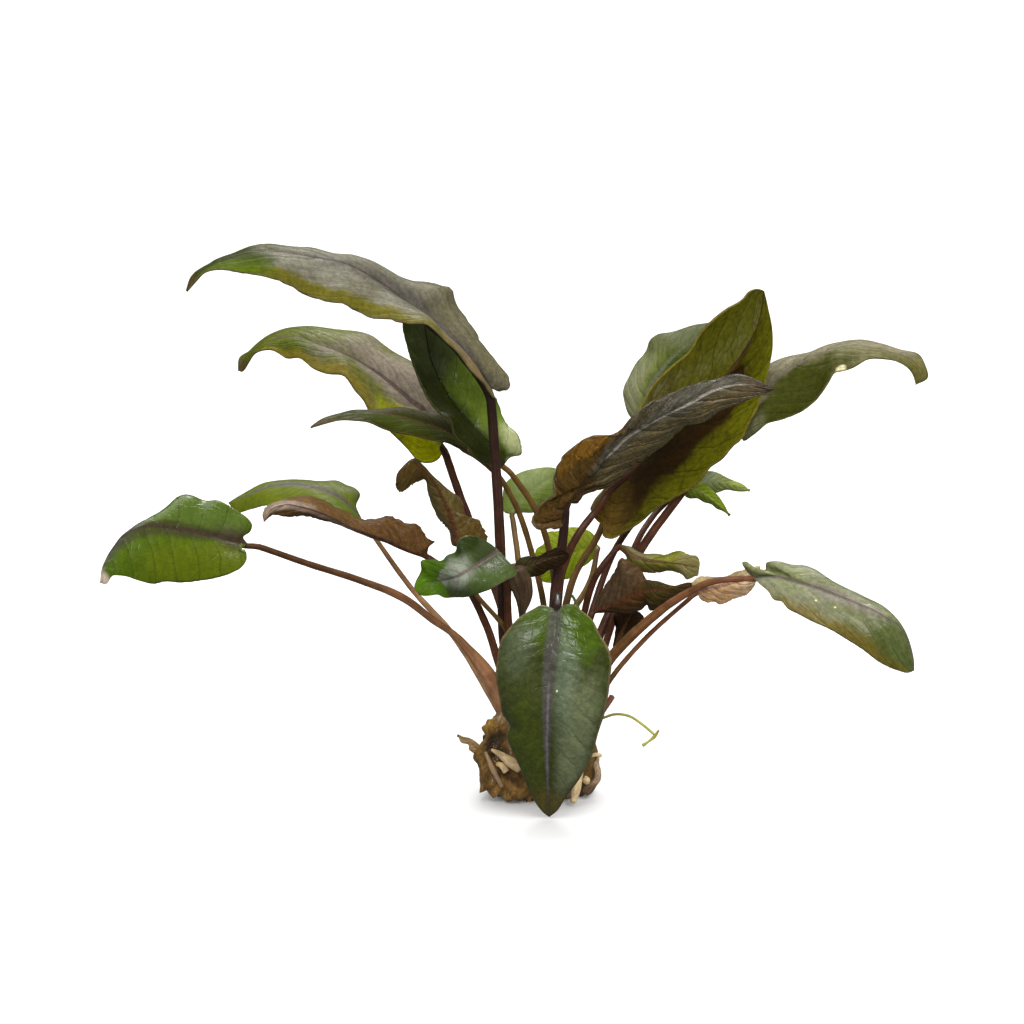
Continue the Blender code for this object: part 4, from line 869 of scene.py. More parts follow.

# A dark leaf stands before it, deeply quilted, its base torn and turned orange brown. Its blade is wet: the
# grey over its middle is a painted highlight, and a painted sheen runs along its thin pale rib.
RIGHT_DARK_SKIN = blade_skin(
    "right_dark_skin", main=(0.06, 0.05, 0.024), patch=(0.042, 0.033, 0.013), rib=(0.3, 0.25, 0.19),
    vein=(0.06, 0.05, 0.03), rim=(0.16, 0.12, 0.07), under=(0.05, 0.03, 0.01), patch_share=0.5,
    roughness=0.28, side_veins=8.0, sweep=0.35, vein_share=0.25, net_share=0.1, rib_width=0.6, relief=1.3,
    gloss=0.2, coat=0.6, grain=0.2, streak=0.2,
    zones=((0.42, 0.55, 0.2, 0.32, (0.13, 0.12, 0.09), 0.7, 0.5),
           (0.51, 0.5, 0.022, 0.36, (0.5, 0.46, 0.38), 0.85, 0.4),
           (0.12, 0.1, 0.4, 0.15, (0.085, 0.042, 0.008), 0.95, 0.15),
           (0.05, 0.34, 0.3, 0.15, (0.07, 0.036, 0.004), 0.95, 0.2),
           (0.02, 0.42, 0.22, 0.1, (0.15, 0.07, 0.005), 0.95, 0.3),
           (0.82, 0.42, 0.22, 0.42, (0.14, 0.105, 0.04), 0.8, 0.4),
           (0.9, 0.84, 0.3, 0.22, (0.19, 0.14, 0.06), 0.85, 0.4),
           (0.8, 0.04, 0.32, 0.12, (0.1, 0.052, 0.01), 0.9, 0.3),
           (0.5, 0.97, 0.6, 0.08, (0.13, 0.09, 0.05), 0.8, 0.4)))
leaf(
    "right_dark", RIGHT_DARK_SKIN, DARK_STALK_SKIN, slot="brown_leaf", thick=(2.6, 2.2),
    rib_depth=(-7, -9, -11, -13, -15, -17, -18), width=25, away_right=0.8, away_left=(0.5, 0.8, 1, 1),
    quilt=0.48, side_veins=8.0, sweep=0.35, ragged=0.1, lumps=1.5,
    stalk=[(4.0, -6.5, 19.0), (3.1, -9, 43.2), (3.8, -8, 53.9), (5.4, -7, 63.5)],
    rib=[(6.2, 70.1), (8.6, 74.6), (12.0, 78.5), (15.8, 81.4), (20.9, 86.2), (25.2, 88.8), (30.5, 91.7),
        (36.0, 94.3), (41.5, 97.2), (48.0, 98.6), (56.4, 97.4)],
    right=[(9.1, 70.1), (10.3, 71.8), (13.0, 72.7), (15.8, 73.7), (19.4, 76.3), (22.3, 78.0), (26.9, 81.8),
        (31.2, 84.7), (36.0, 88.1), (40.1, 89.8), (43.4, 92.2), (48.2, 93.8), (52.6, 95.8)],
    left=[(4.3, 63.4), (1.4, 63.6), (-1.0, 63.4), (-1.9, 64.6), (-1.2, 67.9), (0.0, 69.6), (3.1, 71.3),
        (2.9, 74.4), (3.6, 77.5), (7.0, 82.8), (10.3, 85.4), (13.2, 86.6), (15.4, 86.6), (18.7, 87.6),
        (20.6, 89.5), (23.0, 91.7), (26.9, 94.6), (31.9, 96.7), (36.5, 98.4), (41.5, 99.4), (47.0, 101.0),
        (53.3, 99.1)])

# A grey green leaf shows behind these two. Its blade is thin and matt, paler to the left near the stalk and
# greener on its right half.
BACK_GREY_SKIN = blade_skin(
    "back_grey_green_skin", main=(0.145, 0.165, 0.035), patch=(0.085, 0.105, 0.012), rib=(0.13, 0.13, 0.08),
    vein=(0.09, 0.105, 0.035), rim=(0.18, 0.17, 0.07), under=(0.1, 0.12, 0.04), patch_share=0.45,
    gloss=0.04, coat=0.0, patch_scale=120.0, streak=0.12,
    zones=((0.1, 0.22, 0.3, 0.3, (0.24, 0.24, 0.14), 0.8, 0.5),
           (0.15, 0.8, 0.4, 0.25, (0.11, 0.12, 0.07), 0.8, 0.5),
           (0.75, 0.5, 0.3, 0.4, (0.045, 0.075, 0.01), 0.9, 0.5)))
leaf(
    "back_grey_green", BACK_GREY_SKIN, GOLDEN_STALK_SKIN, slot="grey_green_leaf", thick=(1.9, 1.5),
    rib_depth=(33, 36, 39, 42), width=19, away_right=0.2, away_left=0.8,
    stalk=[(4.0, 6.5, 20.0), (5.7, 9, 40.7), (8.2, 13, 50.0), (14.9, 20, 60.7), (20.5, 29, 76.9)],
    rib=[(24.0, 88.8), (26.4, 97.7), (30.7, 103.9), (36.0, 108.7), (43.7, 114.5)],
    right=[(29.3, 92.4), (33.6, 96.7), (38.4, 103.2), (42.0, 109.2)],
    left=[(21.4, 91.0), (20.4, 93.8), (19.9, 97.4), (21.4, 100.6), (23.0, 103.7), (25.4, 106.8),
        (26.4, 109.2), (27.6, 110.2), (31.2, 111.1), (36.0, 112.6), (40.3, 113.3)])

# The long leaf far to the right arches over: its upper half is grey and pale, a painted sheen, its lower half
# dark olive, with a painted grey sheen and a painted glint near the stalk. It narrows to a tip that hooks
# down.
FAR_RIGHT_SKIN = blade_skin(
    "far_right_arching_skin", main=(0.15, 0.14, 0.06), patch=(0.11, 0.11, 0.03), rib=(0.12, 0.105, 0.075),
    vein=(0.05, 0.05, 0.012), rim=(0.16, 0.14, 0.05), under=(0.09, 0.1, 0.03), sweep=0.4, roughness=0.27,
    relief=0.4, streak=0.1, grain=0.2, gloss=0.04, coat=0.0, patch_scale=100.0,
    zones=((0.88, 0.27, 0.42, 0.34, (0.036, 0.042, 0.002), 0.94, 0.25),
           (0.88, 0.1, 0.16, 0.07, (0.22, 0.22, 0.12), 0.5, 0.5),
           (0.62, 0.16, 0.07, 0.05, (0.3, 0.27, 0.19), 0.7, 0.5),
           (0.28, 0.5, 0.22, 0.5, (0.24, 0.21, 0.14), 0.7, 0.5),
           (0.45, 0.14, 0.22, 0.14, (0.085, 0.07, 0.035), 0.8, 0.5),
           (0.97, 0.6, 0.06, 0.02, (0.85, 0.75, 0.45), 0.9, 0.4),
           (0.5, 0.97, 0.8, 0.1, (0.15, 0.135, 0.035), 0.9, 0.4)))
leaf(
    "far_right_arching", FAR_RIGHT_SKIN, RED_STALK_SKIN, slot="grey_green_leaf", thick=(2.4, 1.9),
    rib_depth=(26, 27, 28, 29, 29, 28, 27), width=24, away_right=-0.8, away_left=(0.9, 1, 1, 0.5),
    stalk=[(7.0, 3.5, 19.0), (14.2, 7, 36.4), (24.8, 15, 57.0), (34.2, 21, 69.0), (42.5, 25, 79.3)],
    rib=[(48.2, 87.6), (50.9, 94.3), (54.5, 98.6), (60.5, 102.7), (66.0, 105.6), (70.8, 107.3),
        (76.8, 107.8), (82.6, 106.8), (87.6, 105.1), (90.5, 102.2), (91.4, 99.6), (90.2, 98.4)],
    right=[(48.7, 85.0), (52.1, 87.1), (54.2, 88.8), (58.3, 90.0), (62.4, 91.7), (66.2, 94.6), (68.9, 98.6),
        (70.8, 101.5), (72.2, 101.8), (75.1, 102.7), (78.0, 104.4), (82.8, 104.6), (85.4, 104.2),
        (87.6, 103.0), (89.3, 101.0)],
    left=[(47.5, 91.2), (49.2, 97.2), (52.3, 102.0), (55.7, 103.9), (60.5, 105.1), (64.8, 105.6),
        (69.6, 107.3), (73.2, 108.2), (77.0, 109.0), (82.6, 108.2), (86.9, 106.8), (91.0, 105.8),
        (92.4, 103.4), (93.1, 100.1)])

# Two small pale green leaves stand out behind the stalks on the right. Both are young and thin, the upper
# one paler, partly from a painted pale sheen, and the lower one a clearer green.
SMALL_UPPER_SKIN = blade_skin(
    "right_small_upper_skin", main=(0.3, 0.37, 0.12), patch=(0.18, 0.24, 0.06), rib=(0.42, 0.46, 0.2),
    vein=(0.14, 0.18, 0.04), rim=(0.2, 0.23, 0.08), under=(0.18, 0.22, 0.06),
    zones=((0.3, 0.35, 0.3, 0.2, (0.46, 0.52, 0.3), 0.8, 0.5),
           (0.5, 0.9, 0.6, 0.35, (0.5, 0.6, 0.12), 0.85, 0.5)))
leaf(
    "right_small_upper", SMALL_UPPER_SKIN, RED_STALK_SKIN, slot="green_leaf", thick=(1.9, 1.4),
    rib_depth=(34, 33, 31, 29), width=10, away_right=0.7, away_left=0.1,
    stalk=[(7.0, 7.0, 19.0), (13.0, 14, 42.0), (20.0, 22, 58.0), (29.0, 30, 66.5)],
    rib=[(35.5, 74.6), (42.0, 75.1), (46.8, 74.2), (50.4, 73.0)],
    right=[(37.4, 72.7), (42.0, 72.7), (46.1, 73.2), (48.0, 72.7)],
    left=[(37.4, 77.0), (40.6, 77.8), (45.8, 75.8), (49.0, 74.4)])
SMALL_LOWER_SKIN = blade_skin(
    "right_small_lower_skin", main=(0.22, 0.3, 0.015), patch=(0.17, 0.24, 0.012), rib=(0.28, 0.34, 0.06),
    vein=(0.07, 0.11, 0.012), rim=(0.12, 0.16, 0.03), under=(0.12, 0.16, 0.03))
leaf(
    "right_small_lower", SMALL_LOWER_SKIN, RED_STALK_SKIN, slot="green_leaf", thick=(1.9, 1.4),
    rib_depth=(27, 26, 25, 24), width=8, away_right=0.7, away_left=0.1,
    stalk=[(10.0, 0.0, 18.0), (18.5, 5, 44.0), (22.5, 9, 57.5), (28.0, 18, 65.0)],
    rib=[(34.1, 73.7), (38.4, 72.7), (42.0, 70.3), (45.6, 67.0)],
    right=[(34.6, 71.8), (37.9, 70.8), (42.0, 68.9)],
    left=[(38.4, 75.1), (42.0, 72.7), (44.2, 69.8)])

# Two crumpled leaves on the right, the upper one still green, the one under it brown and shrivelled. Both
# are brown along their margins and stand on reddish brown stalks.
CRUMPLED_GREEN_SKIN = blade_skin(
    "right_crumpled_green_skin", main=(0.2, 0.2, 0.02), patch=(0.17, 0.17, 0.014), rib=(0.09, 0.04, 0.018),
    vein=(0.06, 0.025, 0.012), rim=(0.09, 0.05, 0.02), under=(0.05, 0.03, 0.008), side_veins=4.0,
    vein_share=0.5,
    zones=((0.2, 0.2, 0.3, 0.25, (0.19, 0.18, 0.09), 0.8, 0.5),
           (0.85, 0.4, 0.25, 0.4, (0.06, 0.045, 0.01), 0.8, 0.4),
           (0.5, 0.88, 0.8, 0.18, (0.2, 0.165, 0.06), 0.85, 0.25)))
leaf(
    "right_crumpled_green", CRUMPLED_GREEN_SKIN, RED_STALK_SKIN, slot="brown_leaf", thick=(2.0, 1.5),
    rib_depth=(-2, -4, -6, -8), width=11, away_right=0.15, away_left=0.8, ragged=0.09,
    stalk=[(5.5, -0.5, 20.0), (10.0, -2, 42.0), (13.5, -3, 54.0)],
    rib=[(19.2, 60.2), (21.8, 57.8), (25.2, 56.6), (30.0, 55.9), (34.8, 55.2), (38.2, 54.2)],
    right=[(19.4, 58.8), (20.4, 57.6), (21.4, 55.4), (24.6, 53.4), (27.6, 53.2), (31.7, 53.5), (34.1, 52.8),
        (35.3, 51.6), (36.7, 52.1), (37.9, 52.6)],
    left=[(21.6, 59.5), (23.0, 58.6), (24.5, 58.1), (29.5, 58.1), (34.1, 58.6), (36.5, 57.6), (37.4, 57.6),
        (38.4, 55.9)])
CRUMPLED_BROWN_SKIN = blade_skin(
    "right_crumpled_brown_skin", main=(0.08, 0.037, 0.009), patch=(0.05, 0.024, 0.005),
    rib=(0.1, 0.035, 0.015), vein=(0.1, 0.055, 0.028), streak=0.25, grain=0.2, rim=(0.08, 0.05, 0.02),
    under=(0.06, 0.035, 0.012), vein_share=0.3, roughness=0.3,
    zones=((0.2, 0.2, 0.3, 0.3, (0.075, 0.05, 0.028), 0.7, 0.5),
           (0.6, 0.7, 0.5, 0.18, (0.045, 0.036, 0.006), 0.85, 0.3)))
leaf(
    "right_crumpled_brown", CRUMPLED_BROWN_SKIN, RED_STALK_SKIN, slot="brown_leaf", thick=(2.0, 1.5),
    rib_depth=(-8, -12, -14, -14), width=18, away_right=0.5, away_left=0.2, ragged=0.08,
    stalk=[(5.0, -4.0, 19.0), (9.5, -6, 34.0)],
    rib=[(12.4, 43.6), (17.5, 45.4), (24.5, 48.7), (30.7, 49.7), (37.7, 50.6)],
    right=[(17.8, 43.6), (21.8, 43.7), (24.2, 44.4), (25.9, 45.8), (26.2, 44.4), (26.9, 44.2), (31.0, 46.3),
        (32.4, 47.3), (36.0, 49.2)],
    left=[(13.3, 46.6), (15.6, 50.6), (18.2, 54.5), (19.4, 57.2), (21.4, 56.2), (24.7, 53.3), (24.7, 52.1),
        (26.6, 51.6), (28.3, 51.4), (32.4, 50.2), (33.6, 50.6), (36.0, 51.1)])

# The far right leaf bends down on a thick golden brown stalk. It is grey-green, its grey partly a painted
# sheen, and shines along its fold, where a paler sheen is painted. The stalk is thickest at the crown and
# tapers into the rib.
FAR_LOW_SKIN = blade_skin(
    "far_right_low_skin", main=(0.19, 0.195, 0.115), patch=(0.15, 0.165, 0.065), rib=(0.12, 0.095, 0.085),
    vein=(0.08, 0.1, 0.045), rim=(0.14, 0.13, 0.07), under=(0.1, 0.12, 0.04), sweep=0.45, vein_share=0.08,
    net_share=0.08, side_veins=5.0, relief=0.35, patch_scale=90.0, grain=0.18, streak=0.12,
    zones=((0.5, 0.35, 0.12, 0.45, (0.22, 0.19, 0.155), 0.7, 0.5),
           (0.3, 0.15, 0.35, 0.2, (0.2, 0.225, 0.08), 0.7, 0.5),
           (0.72, 0.84, 0.4, 0.17, (0.06, 0.08, 0.01), 0.85, 0.4),
           (1.0, 0.55, 0.17, 0.45, (0.16, 0.115, 0.012), 0.85, 0.5),
           (0.71, 0.36, 0.014, 0.006, (0.75, 0.7, 0.22), 0.9, 0.4),
           (0.69, 0.46, 0.014, 0.006, (0.75, 0.7, 0.22), 0.9, 0.4),
           (0.1, 0.93, 0.05, 0.03, (0.92, 0.88, 0.66), 0.9, 0.4)))
BROAD_STALK_SKIN = stem_skin(
    "broad_stalk_skin", low=(0.22, 0.115, 0.038), high=(0.25, 0.1, 0.045), streak=(0.11, 0.042, 0.015),
    turns=4.0, run=4.0, streaks=0.7)
leaf(
    "far_right_low", FAR_LOW_SKIN, BROAD_STALK_SKIN, slot="grey_green_leaf",
    thick=(2.8, 2.7, 2.4, 1.8, 1.4), rib_depth=(-24, -26, -29, -33, -37, -39, -40), width=21,
    away_right=(-0.6, -0.5, -0.3), away_left=(0.9, 1, 0.9), quilt=0.05, side_veins=5.0, sweep=0.45,
    stalk=[(7.5, -5.5, 18.0), (15.6, -8, 33.2), (23.7, -13, 43.3), (32.7, -18, 51.6), (40.2, -22, 56.2)],
    rib=[(51.1, 52.1), (53.8, 52.6), (62.4, 51.1), (67.9, 49.2), (75.6, 46.3), (81.4, 43.7), (86.4, 39.8),
        (88.8, 34.8), (89.8, 29.8)],
    right=[(52.8, 50.6), (54.7, 49.0), (56.2, 46.8), (57.6, 46.6), (59.5, 44.6), (61.9, 43.4), (66.0, 41.3),
        (69.8, 39.6), (73.7, 37.2), (77.5, 34.8), (82.1, 31.4), (85.9, 29.8), (88.3, 29.3)],
    left=[(49.0, 54.5), (48.5, 55.9), (49.4, 56.2), (50.9, 54.0), (52.8, 53.0), (54.0, 53.8), (54.2, 55.7),
        (56.6, 56.2), (60.5, 55.4), (63.4, 55.2), (66.2, 54.2), (69.8, 51.8), (73.7, 49.7), (77.5, 47.8),
        (82.6, 45.6), (85.0, 43.2), (87.1, 39.8), (88.8, 35.5), (89.8, 31.7)])

# Behind the stalks on the right hangs a curled scrap of a rotted leaf, nearly black. It is thin, with an
# edge torn all around.
SCRAP_SKIN = blade_skin(
    "scrap_skin", main=(0.03, 0.015, 0.005), patch=(0.014, 0.007, 0.002), rib=(0.1, 0.05, 0.015),
    vein=(0.07, 0.04, 0.015), rim=(0.14, 0.075, 0.02), under=(0.02, 0.01, 0.004), patch_scale=150.0)
blade(
    "curled_scrap", SCRAP_SKIN, "right_crumpled_brown_blade", "brown_leaf", rib_depth=(2, 3, 3), width=7.0,
    away_right=0.4, away_left=0.4, bulge=0.2, lumps=1.0, ragged=0.12,
    rib=[(17.8, 33.5), (19.2, 38.0), (20.6, 41.0), (22.6, 44.6)],
    right=[(20.4, 35.2), (21.4, 37.6), (22.6, 39.0), (25.4, 41.2), (24.6, 43.4)],
    left=[(17.6, 36.4), (18.0, 40.0), (17.6, 43.2), (19.6, 44.8)])

# A folded pinkish brown leaf hangs behind the stalk of the far right leaf. It is thin and withered, its
# edge ragged and darker. Its pale colour is painted lighter to make up for the shade it hangs in.
FOLDED_BROWN_SKIN = blade_skin(
    "right_folded_brown_skin", main=(0.92, 0.68, 0.42), patch=(0.6, 0.36, 0.18), rib=(0.25, 0.12, 0.07),
    vein=(0.68, 0.56, 0.43), rim=(0.4, 0.24, 0.1), under=(0.36, 0.24, 0.14), vein_share=0.3, side_veins=5.0,
    streak=0.25, grain=0.2, sweep=0.5,
    zones=((0.85, 0.3, 0.3, 0.3, (0.45, 0.24, 0.09), 0.7, 0.4),
           (0.0, 0.4, 0.34, 0.6, (0.34, 0.26, 0.11), 0.85, 0.4)))
leaf(
    "right_folded_brown", FOLDED_BROWN_SKIN, BROAD_STALK_SKIN, slot="brown_leaf", thick=(1.3, 1.1),
    rib_depth=(-14, -16, -17), width=9, away_right=0.2, away_left=0.8, ragged=0.12,
    stalk=[(11.0, -3.0, 18.0), (18.0, -7, 31.0), (25.0, -10, 40.0)],
    rib=[(37.7, 48.7), (43.2, 50.2), (49.2, 51.6), (52.1, 52.3)],
    right=[(38.4, 47.0), (39.8, 46.1), (42.0, 46.3), (43.0, 45.6), (46.3, 46.8), (49.9, 48.2),
        (51.4, 49.9)],
    left=[(36.2, 50.9), (37.7, 52.3), (42.7, 52.3), (48.7, 54.0), (53.0, 54.7), (52.8, 53.3)])

# The front leaf hangs down before the crown to the floor, its upper side to the front: green between a
# broad purple-grey rib and a thin tan rim, glazed with light: a grey-green sheen painted in patches on both
# sides of the rib, and two tiny white spots, painted glints of water drops.
FRONT_SKIN = blade_skin(
    "front_skin", main=(0.045, 0.055, 0.012), patch=(0.03, 0.04, 0.006), rib=(0.085, 0.075, 0.072),
    vein=(0.03, 0.042, 0.015), rim=(0.26, 0.18, 0.09), under=(0.09, 0.11, 0.04), roughness=0.2, gloss=0.25,
    rib_width=2.5, rib_share=0.7, vein_share=0.2, net_share=0.05, rim_share=0.55, sweep=0.2, side_veins=9.0,
    relief=0.35, streak=0.12, grain=0.2, coat=0.3,
    zones=((0.75, 0.09, 0.35, 0.12, (0.05, 0.085, 0.003), 0.9, 0.25),
           (0.2, 0.14, 0.28, 0.15, (0.05, 0.09, 0.002), 0.9, 0.25),
           (0.36, 0.36, 0.1, 0.26, (0.13, 0.165, 0.1), 0.8, 0.6),
           (0.22, 0.7, 0.16, 0.3, (0.17, 0.195, 0.1), 0.8, 0.6),
           (0.84, 0.27, 0.13, 0.11, (0.085, 0.105, 0.05), 0.8, 0.6),
           (0.75, 0.72, 0.22, 0.25, (0.055, 0.072, 0.006), 0.8, 0.4),
           (0.5, 0.99, 0.8, 0.14, (0.11, 0.09, 0.015), 0.85, 0.4),
           (0.5, 0.66, 0.012, 0.3, (0.34, 0.3, 0.34), 0.8, 0.5),
           (0.43, 0.4, 0.007, 0.005, (0.8, 0.82, 0.78), 0.9, 0.3),
           (0.515, 0.17, 0.005, 0.003, (0.8, 0.82, 0.78), 0.9, 0.3)))
leaf(
    "front", FRONT_SKIN, DARK_STALK_SKIN, slot="green_leaf", thick=(2.4, 2.0),
    rib_depth=(-39.5, -42, -43, -43, -39.5, -34.5, -26.5), width=30, away_right=(0.5, 0.5, 0.4),
    away_left=(0.4, 0.3, 0.3),
    stalk=[(1.0, -7.5, 18.0), (1.5, -12, 34.0), (3.0, -22, 48.0), (4.0, -33, 55.0)],
    rib=[(4.1, 44.2), (3.4, 38.4), (2.4, 31.2), (1.9, 22.8), (1.7, 15.6), (1.7, 8.4), (1.9, 1.2),
        (2.2, -5.3)],
    right=[(2.4, 45.1), (0.2, 45.6), (-1.9, 44.6), (-5.0, 42.7), (-7.4, 40.1), (-9.4, 37.2), (-10.3, 33.4),
        (-10.6, 28.3), (-9.6, 23.5), (-8.9, 19.4), (-7.4, 16.3), (-8.2, 14.9), (-6.7, 10.8), (-5.0, 7.2),
        (-2.9, 1.2), (-1.2, -1.7), (0.7, -4.1)],
    left=[(5.5, 45.4), (8.2, 45.8), (9.6, 44.6), (12.5, 42.2), (14.4, 38.6), (16.6, 35.0), (17.3, 31.9),
        (17.0, 28.6), (16.6, 25.0), (15.6, 19.7), (13.9, 14.6), (12.7, 9.8), (9.8, 4.3), (6.2, -0.5),
        (3.8, -4.1)])

# The crown is the trimmed rhizome: a short brown stump, cut off flat below and drawn in under the stalks, its
# flesh lumpy and glistening wet, the glisten painted as lighter spots. Its folds are given as their depth and
# how close together they are.
CROWN_HEIGHT = 24.0
CROWN_RADIUS_X = 13.0
CROWN_RADIUS_Y = 11.5
CROWN_SWELL = (0.78, 0.84, 0.86, 0.83, 0.78, 0.74, 0.60)
CROWN_FOLDS = ((1.1, 2.5), (0.6, 6.0), (0.25, 15.0))
CROWN_LEVELS = 60
CROWN_SIDES = 120
CROWN_FLOOR_ROWS = 6
CROWN_TOP_ROWS = 10
CROWN_TOP_RISE = 0.6
HUSK_PATCHES = 170.0
HUSK_GLISTEN_SPOTS = 442.0
HUSK_ROUGHNESS = 0.38
HUSK_RELIEF = 0.7
HUSK_GLOSS = 0.4


def crown_radius(angle, height):
    swell = smooth_curve(CROWN_SWELL, [height / CROWN_HEIGHT])[0][0]
    lump = 1 + 0.05 * math.sin(3 * angle + 0.3 * height) + 0.03 * math.cos(5 * angle - 0.5 * height)
    oval = math.hypot(CROWN_RADIUS_X * math.cos(angle), CROWN_RADIUS_Y * math.sin(angle))
    return oval * swell * lump


def husk_skin(name, dark, light, wet_glisten):
    skin, tree, sockets = new_material(name, {"Specular IOR Level": HUSK_GLOSS})
    place = add(tree, "TexCoord").outputs["Object"]
    mottle = use(tree, blotch_effect, Place=place, Scale=HUSK_PATCHES, Share=0.5)
    glisten_spots = use(tree, blotch_effect, Place=place, Scale=HUSK_GLISTEN_SPOTS, Share=0.35)
    drawn_out = add(tree, "Mapping", {"Vector": place, "Scale": (800.0, 800.0, 200.0)}).outputs[0]
    fibre = ramp(tree, cloud(tree, drawn_out, 1.0, 4.0, 0.6, 0.8), 0.3, 0.72)
    # lighter spots laid over the colour are a painted glisten, highlights of the wet surface
    colour = lay(tree, glisten_spots["Patch"], 0.7, tint(tree, mottle["Patch"], light, dark), wet_glisten)
    tree.links.new(shade(tree, colour, fibre, 0.7, 1.25), sockets["Base Color"])
    height = calc(tree, "ADD", calc(tree, "MULTIPLY", fibre, 0.6),
                  calc(tree, "MULTIPLY", mottle["Speckle"], 0.6))
    height = calc(tree, "ADD", height, mottle["Patch"])
    bump = add(tree, "Bump", {"Strength": HUSK_RELIEF, "Distance": 0.0005, "Height": height})
    tree.links.new(bump.outputs["Normal"], sockets["Normal"])
    dulled = ramp(tree, mottle["Speckle"], 0.3, 0.7, HUSK_ROUGHNESS + 0.15, HUSK_ROUGHNESS - 0.1)
    tree.links.new(dulled, sockets["Roughness"])
    return skin


STUMP_SKIN = husk_skin(
    "stump_skin", dark=(0.04, 0.02, 0.007), light=(0.12, 0.065, 0.02), wet_glisten=(0.17, 0.11, 0.04))
work = bmesh.new()
bmesh.ops.create_grid(work, x_segments=CROWN_SIDES, y_segments=CROWN_LEVELS, size=0.5)
for vertex in work.verts:
    k = round((vertex.co.y + 0.5) * CROWN_LEVELS)
    angle = 2 * math.pi * vertex.co.x
    part = (k - CROWN_FLOOR_ROWS) / (CROWN_LEVELS - CROWN_FLOOR_ROWS - CROWN_TOP_ROWS)
    part = min(max(part, 0.0), 1.0)
    height = CROWN_HEIGHT * part
    reach = crown_radius(angle, height)
    around = Vector((math.cos(angle), math.sin(angle), 0.08 * height))
    fold = sum(deep * noise.noise(around * close) for deep, close in CROWN_FOLDS)
    reach += fold * min(0.3 + part * 6.0, 1.0)
    if k < CROWN_FLOOR_ROWS:
        reach *= k / CROWN_FLOOR_ROWS
    if k > CROWN_LEVELS - CROWN_TOP_ROWS:
        drawn_in = (CROWN_LEVELS - k) / CROWN_TOP_ROWS
        height += CROWN_TOP_RISE * (1 - drawn_in)
        reach *= drawn_in
    vertex.co = Vector((reach * math.cos(angle), reach * math.sin(angle), height))
bmesh.ops.remove_doubles(work, verts=work.verts, dist=0.001)
bmesh.ops.recalc_face_normals(work, faces=work.faces)
finish_piece("crown_stump", work, STUMP_SKIN, "crown")

# Husks: the bases of leaves that have died off wrap the stump, golden brown, thin, wet and torn into rags; on
# the wrapped ones the glisten is painted as lighter spots. The biggest one spreads to the left from the neck
# of the stalks down to the floor.
HUSK_SKIN = husk_skin(
    "husk_skin", dark=(0.085, 0.04, 0.008), light=(0.24, 0.13, 0.024), wet_glisten=(0.34, 0.21, 0.07))
TAN_HUSK_SKIN = husk_skin(
    "tan_husk_skin", dark=(0.18, 0.11, 0.06), light=(0.34, 0.24, 0.15), wet_glisten=(0.46, 0.35, 0.22))
# The orange brown near the top of the biggest husk is painted light shining through it.
LEFT_HUSK_SKIN = blade_skin(
    "left_husk_skin", main=(0.24, 0.13, 0.028), patch=(0.13, 0.065, 0.012), rib=(0.2, 0.11, 0.03),
    vein=(0.09, 0.042, 0.008), rim=(0.36, 0.22, 0.06), under=(0.15, 0.08, 0.02), patch_scale=230.0,
    patch_share=0.5, relief=0.8, roughness=0.28, gloss=0.3, coat=0.4, rib_share=0.0, rim_share=0.4,
    vein_share=0.12, grain=0.35, net_share=0.05, side_veins=2.5, sweep=0.1, streak=0.3,
    zones=((0.5, 0.04, 0.5, 0.1, (0.3, 0.2, 0.1), 0.8, 0.4),
           (0.88, 0.18, 0.3, 0.12, (0.38, 0.21, 0.03), 0.85, 0.4),
           (0.54, 0.38, 0.22, 0.15, (0.024, 0.011, 0.003), 0.9, 0.4),
           (0.25, 0.4, 0.22, 0.18, (0.16, 0.085, 0.02), 0.8, 0.4),
           (0.4, 0.66, 0.25, 0.12, (0.07, 0.032, 0.008), 0.8, 0.4),
           (0.6, 0.84, 0.4, 0.1, (0.36, 0.2, 0.055), 0.7, 0.5)))
blade(
    "left_husk", LEFT_HUSK_SKIN, "sheath_left", "crown", rib_depth=(-8.5, -11, -13, -13, -12.5), width=17.0,
    away_right=(0.8, 0.9, 0.9), away_left=0.1, bulge=0.22, ripple=0.35, waves=5.0, quilt=0.0, lumps=1.6,
    ragged=0.05,
    rib=[(-8.9, 20.5), (-9.6, 16.0), (-9.5, 9.0), (-9.0, 4.0), (-7.9, -1.7)],
    right=[(-10.6, 18.5), (-11.5, 18.0), (-12.7, 18.1), (-13.1, 17.0), (-14.2, 16.2), (-13.9, 15.1),
        (-13.6, 14.2), (-14.8, 12.2), (-15.6, 10.6), (-16.1, 8.5), (-15.4, 7.4), (-14.4, 5.8), (-14.2, 3.1),
        (-14.5, 0.3), (-12.9, 1.4), (-10.9, -0.7), (-10.4, 0.5), (-9.0, 0.2)],
    left=[(-6.8, 19.5), (-3.5, 16.0), (-1.5, 11.0), (-0.5, 5.0), (-1.9, 0.2), (-4.8, -0.8), (-6.5, -1.3)])
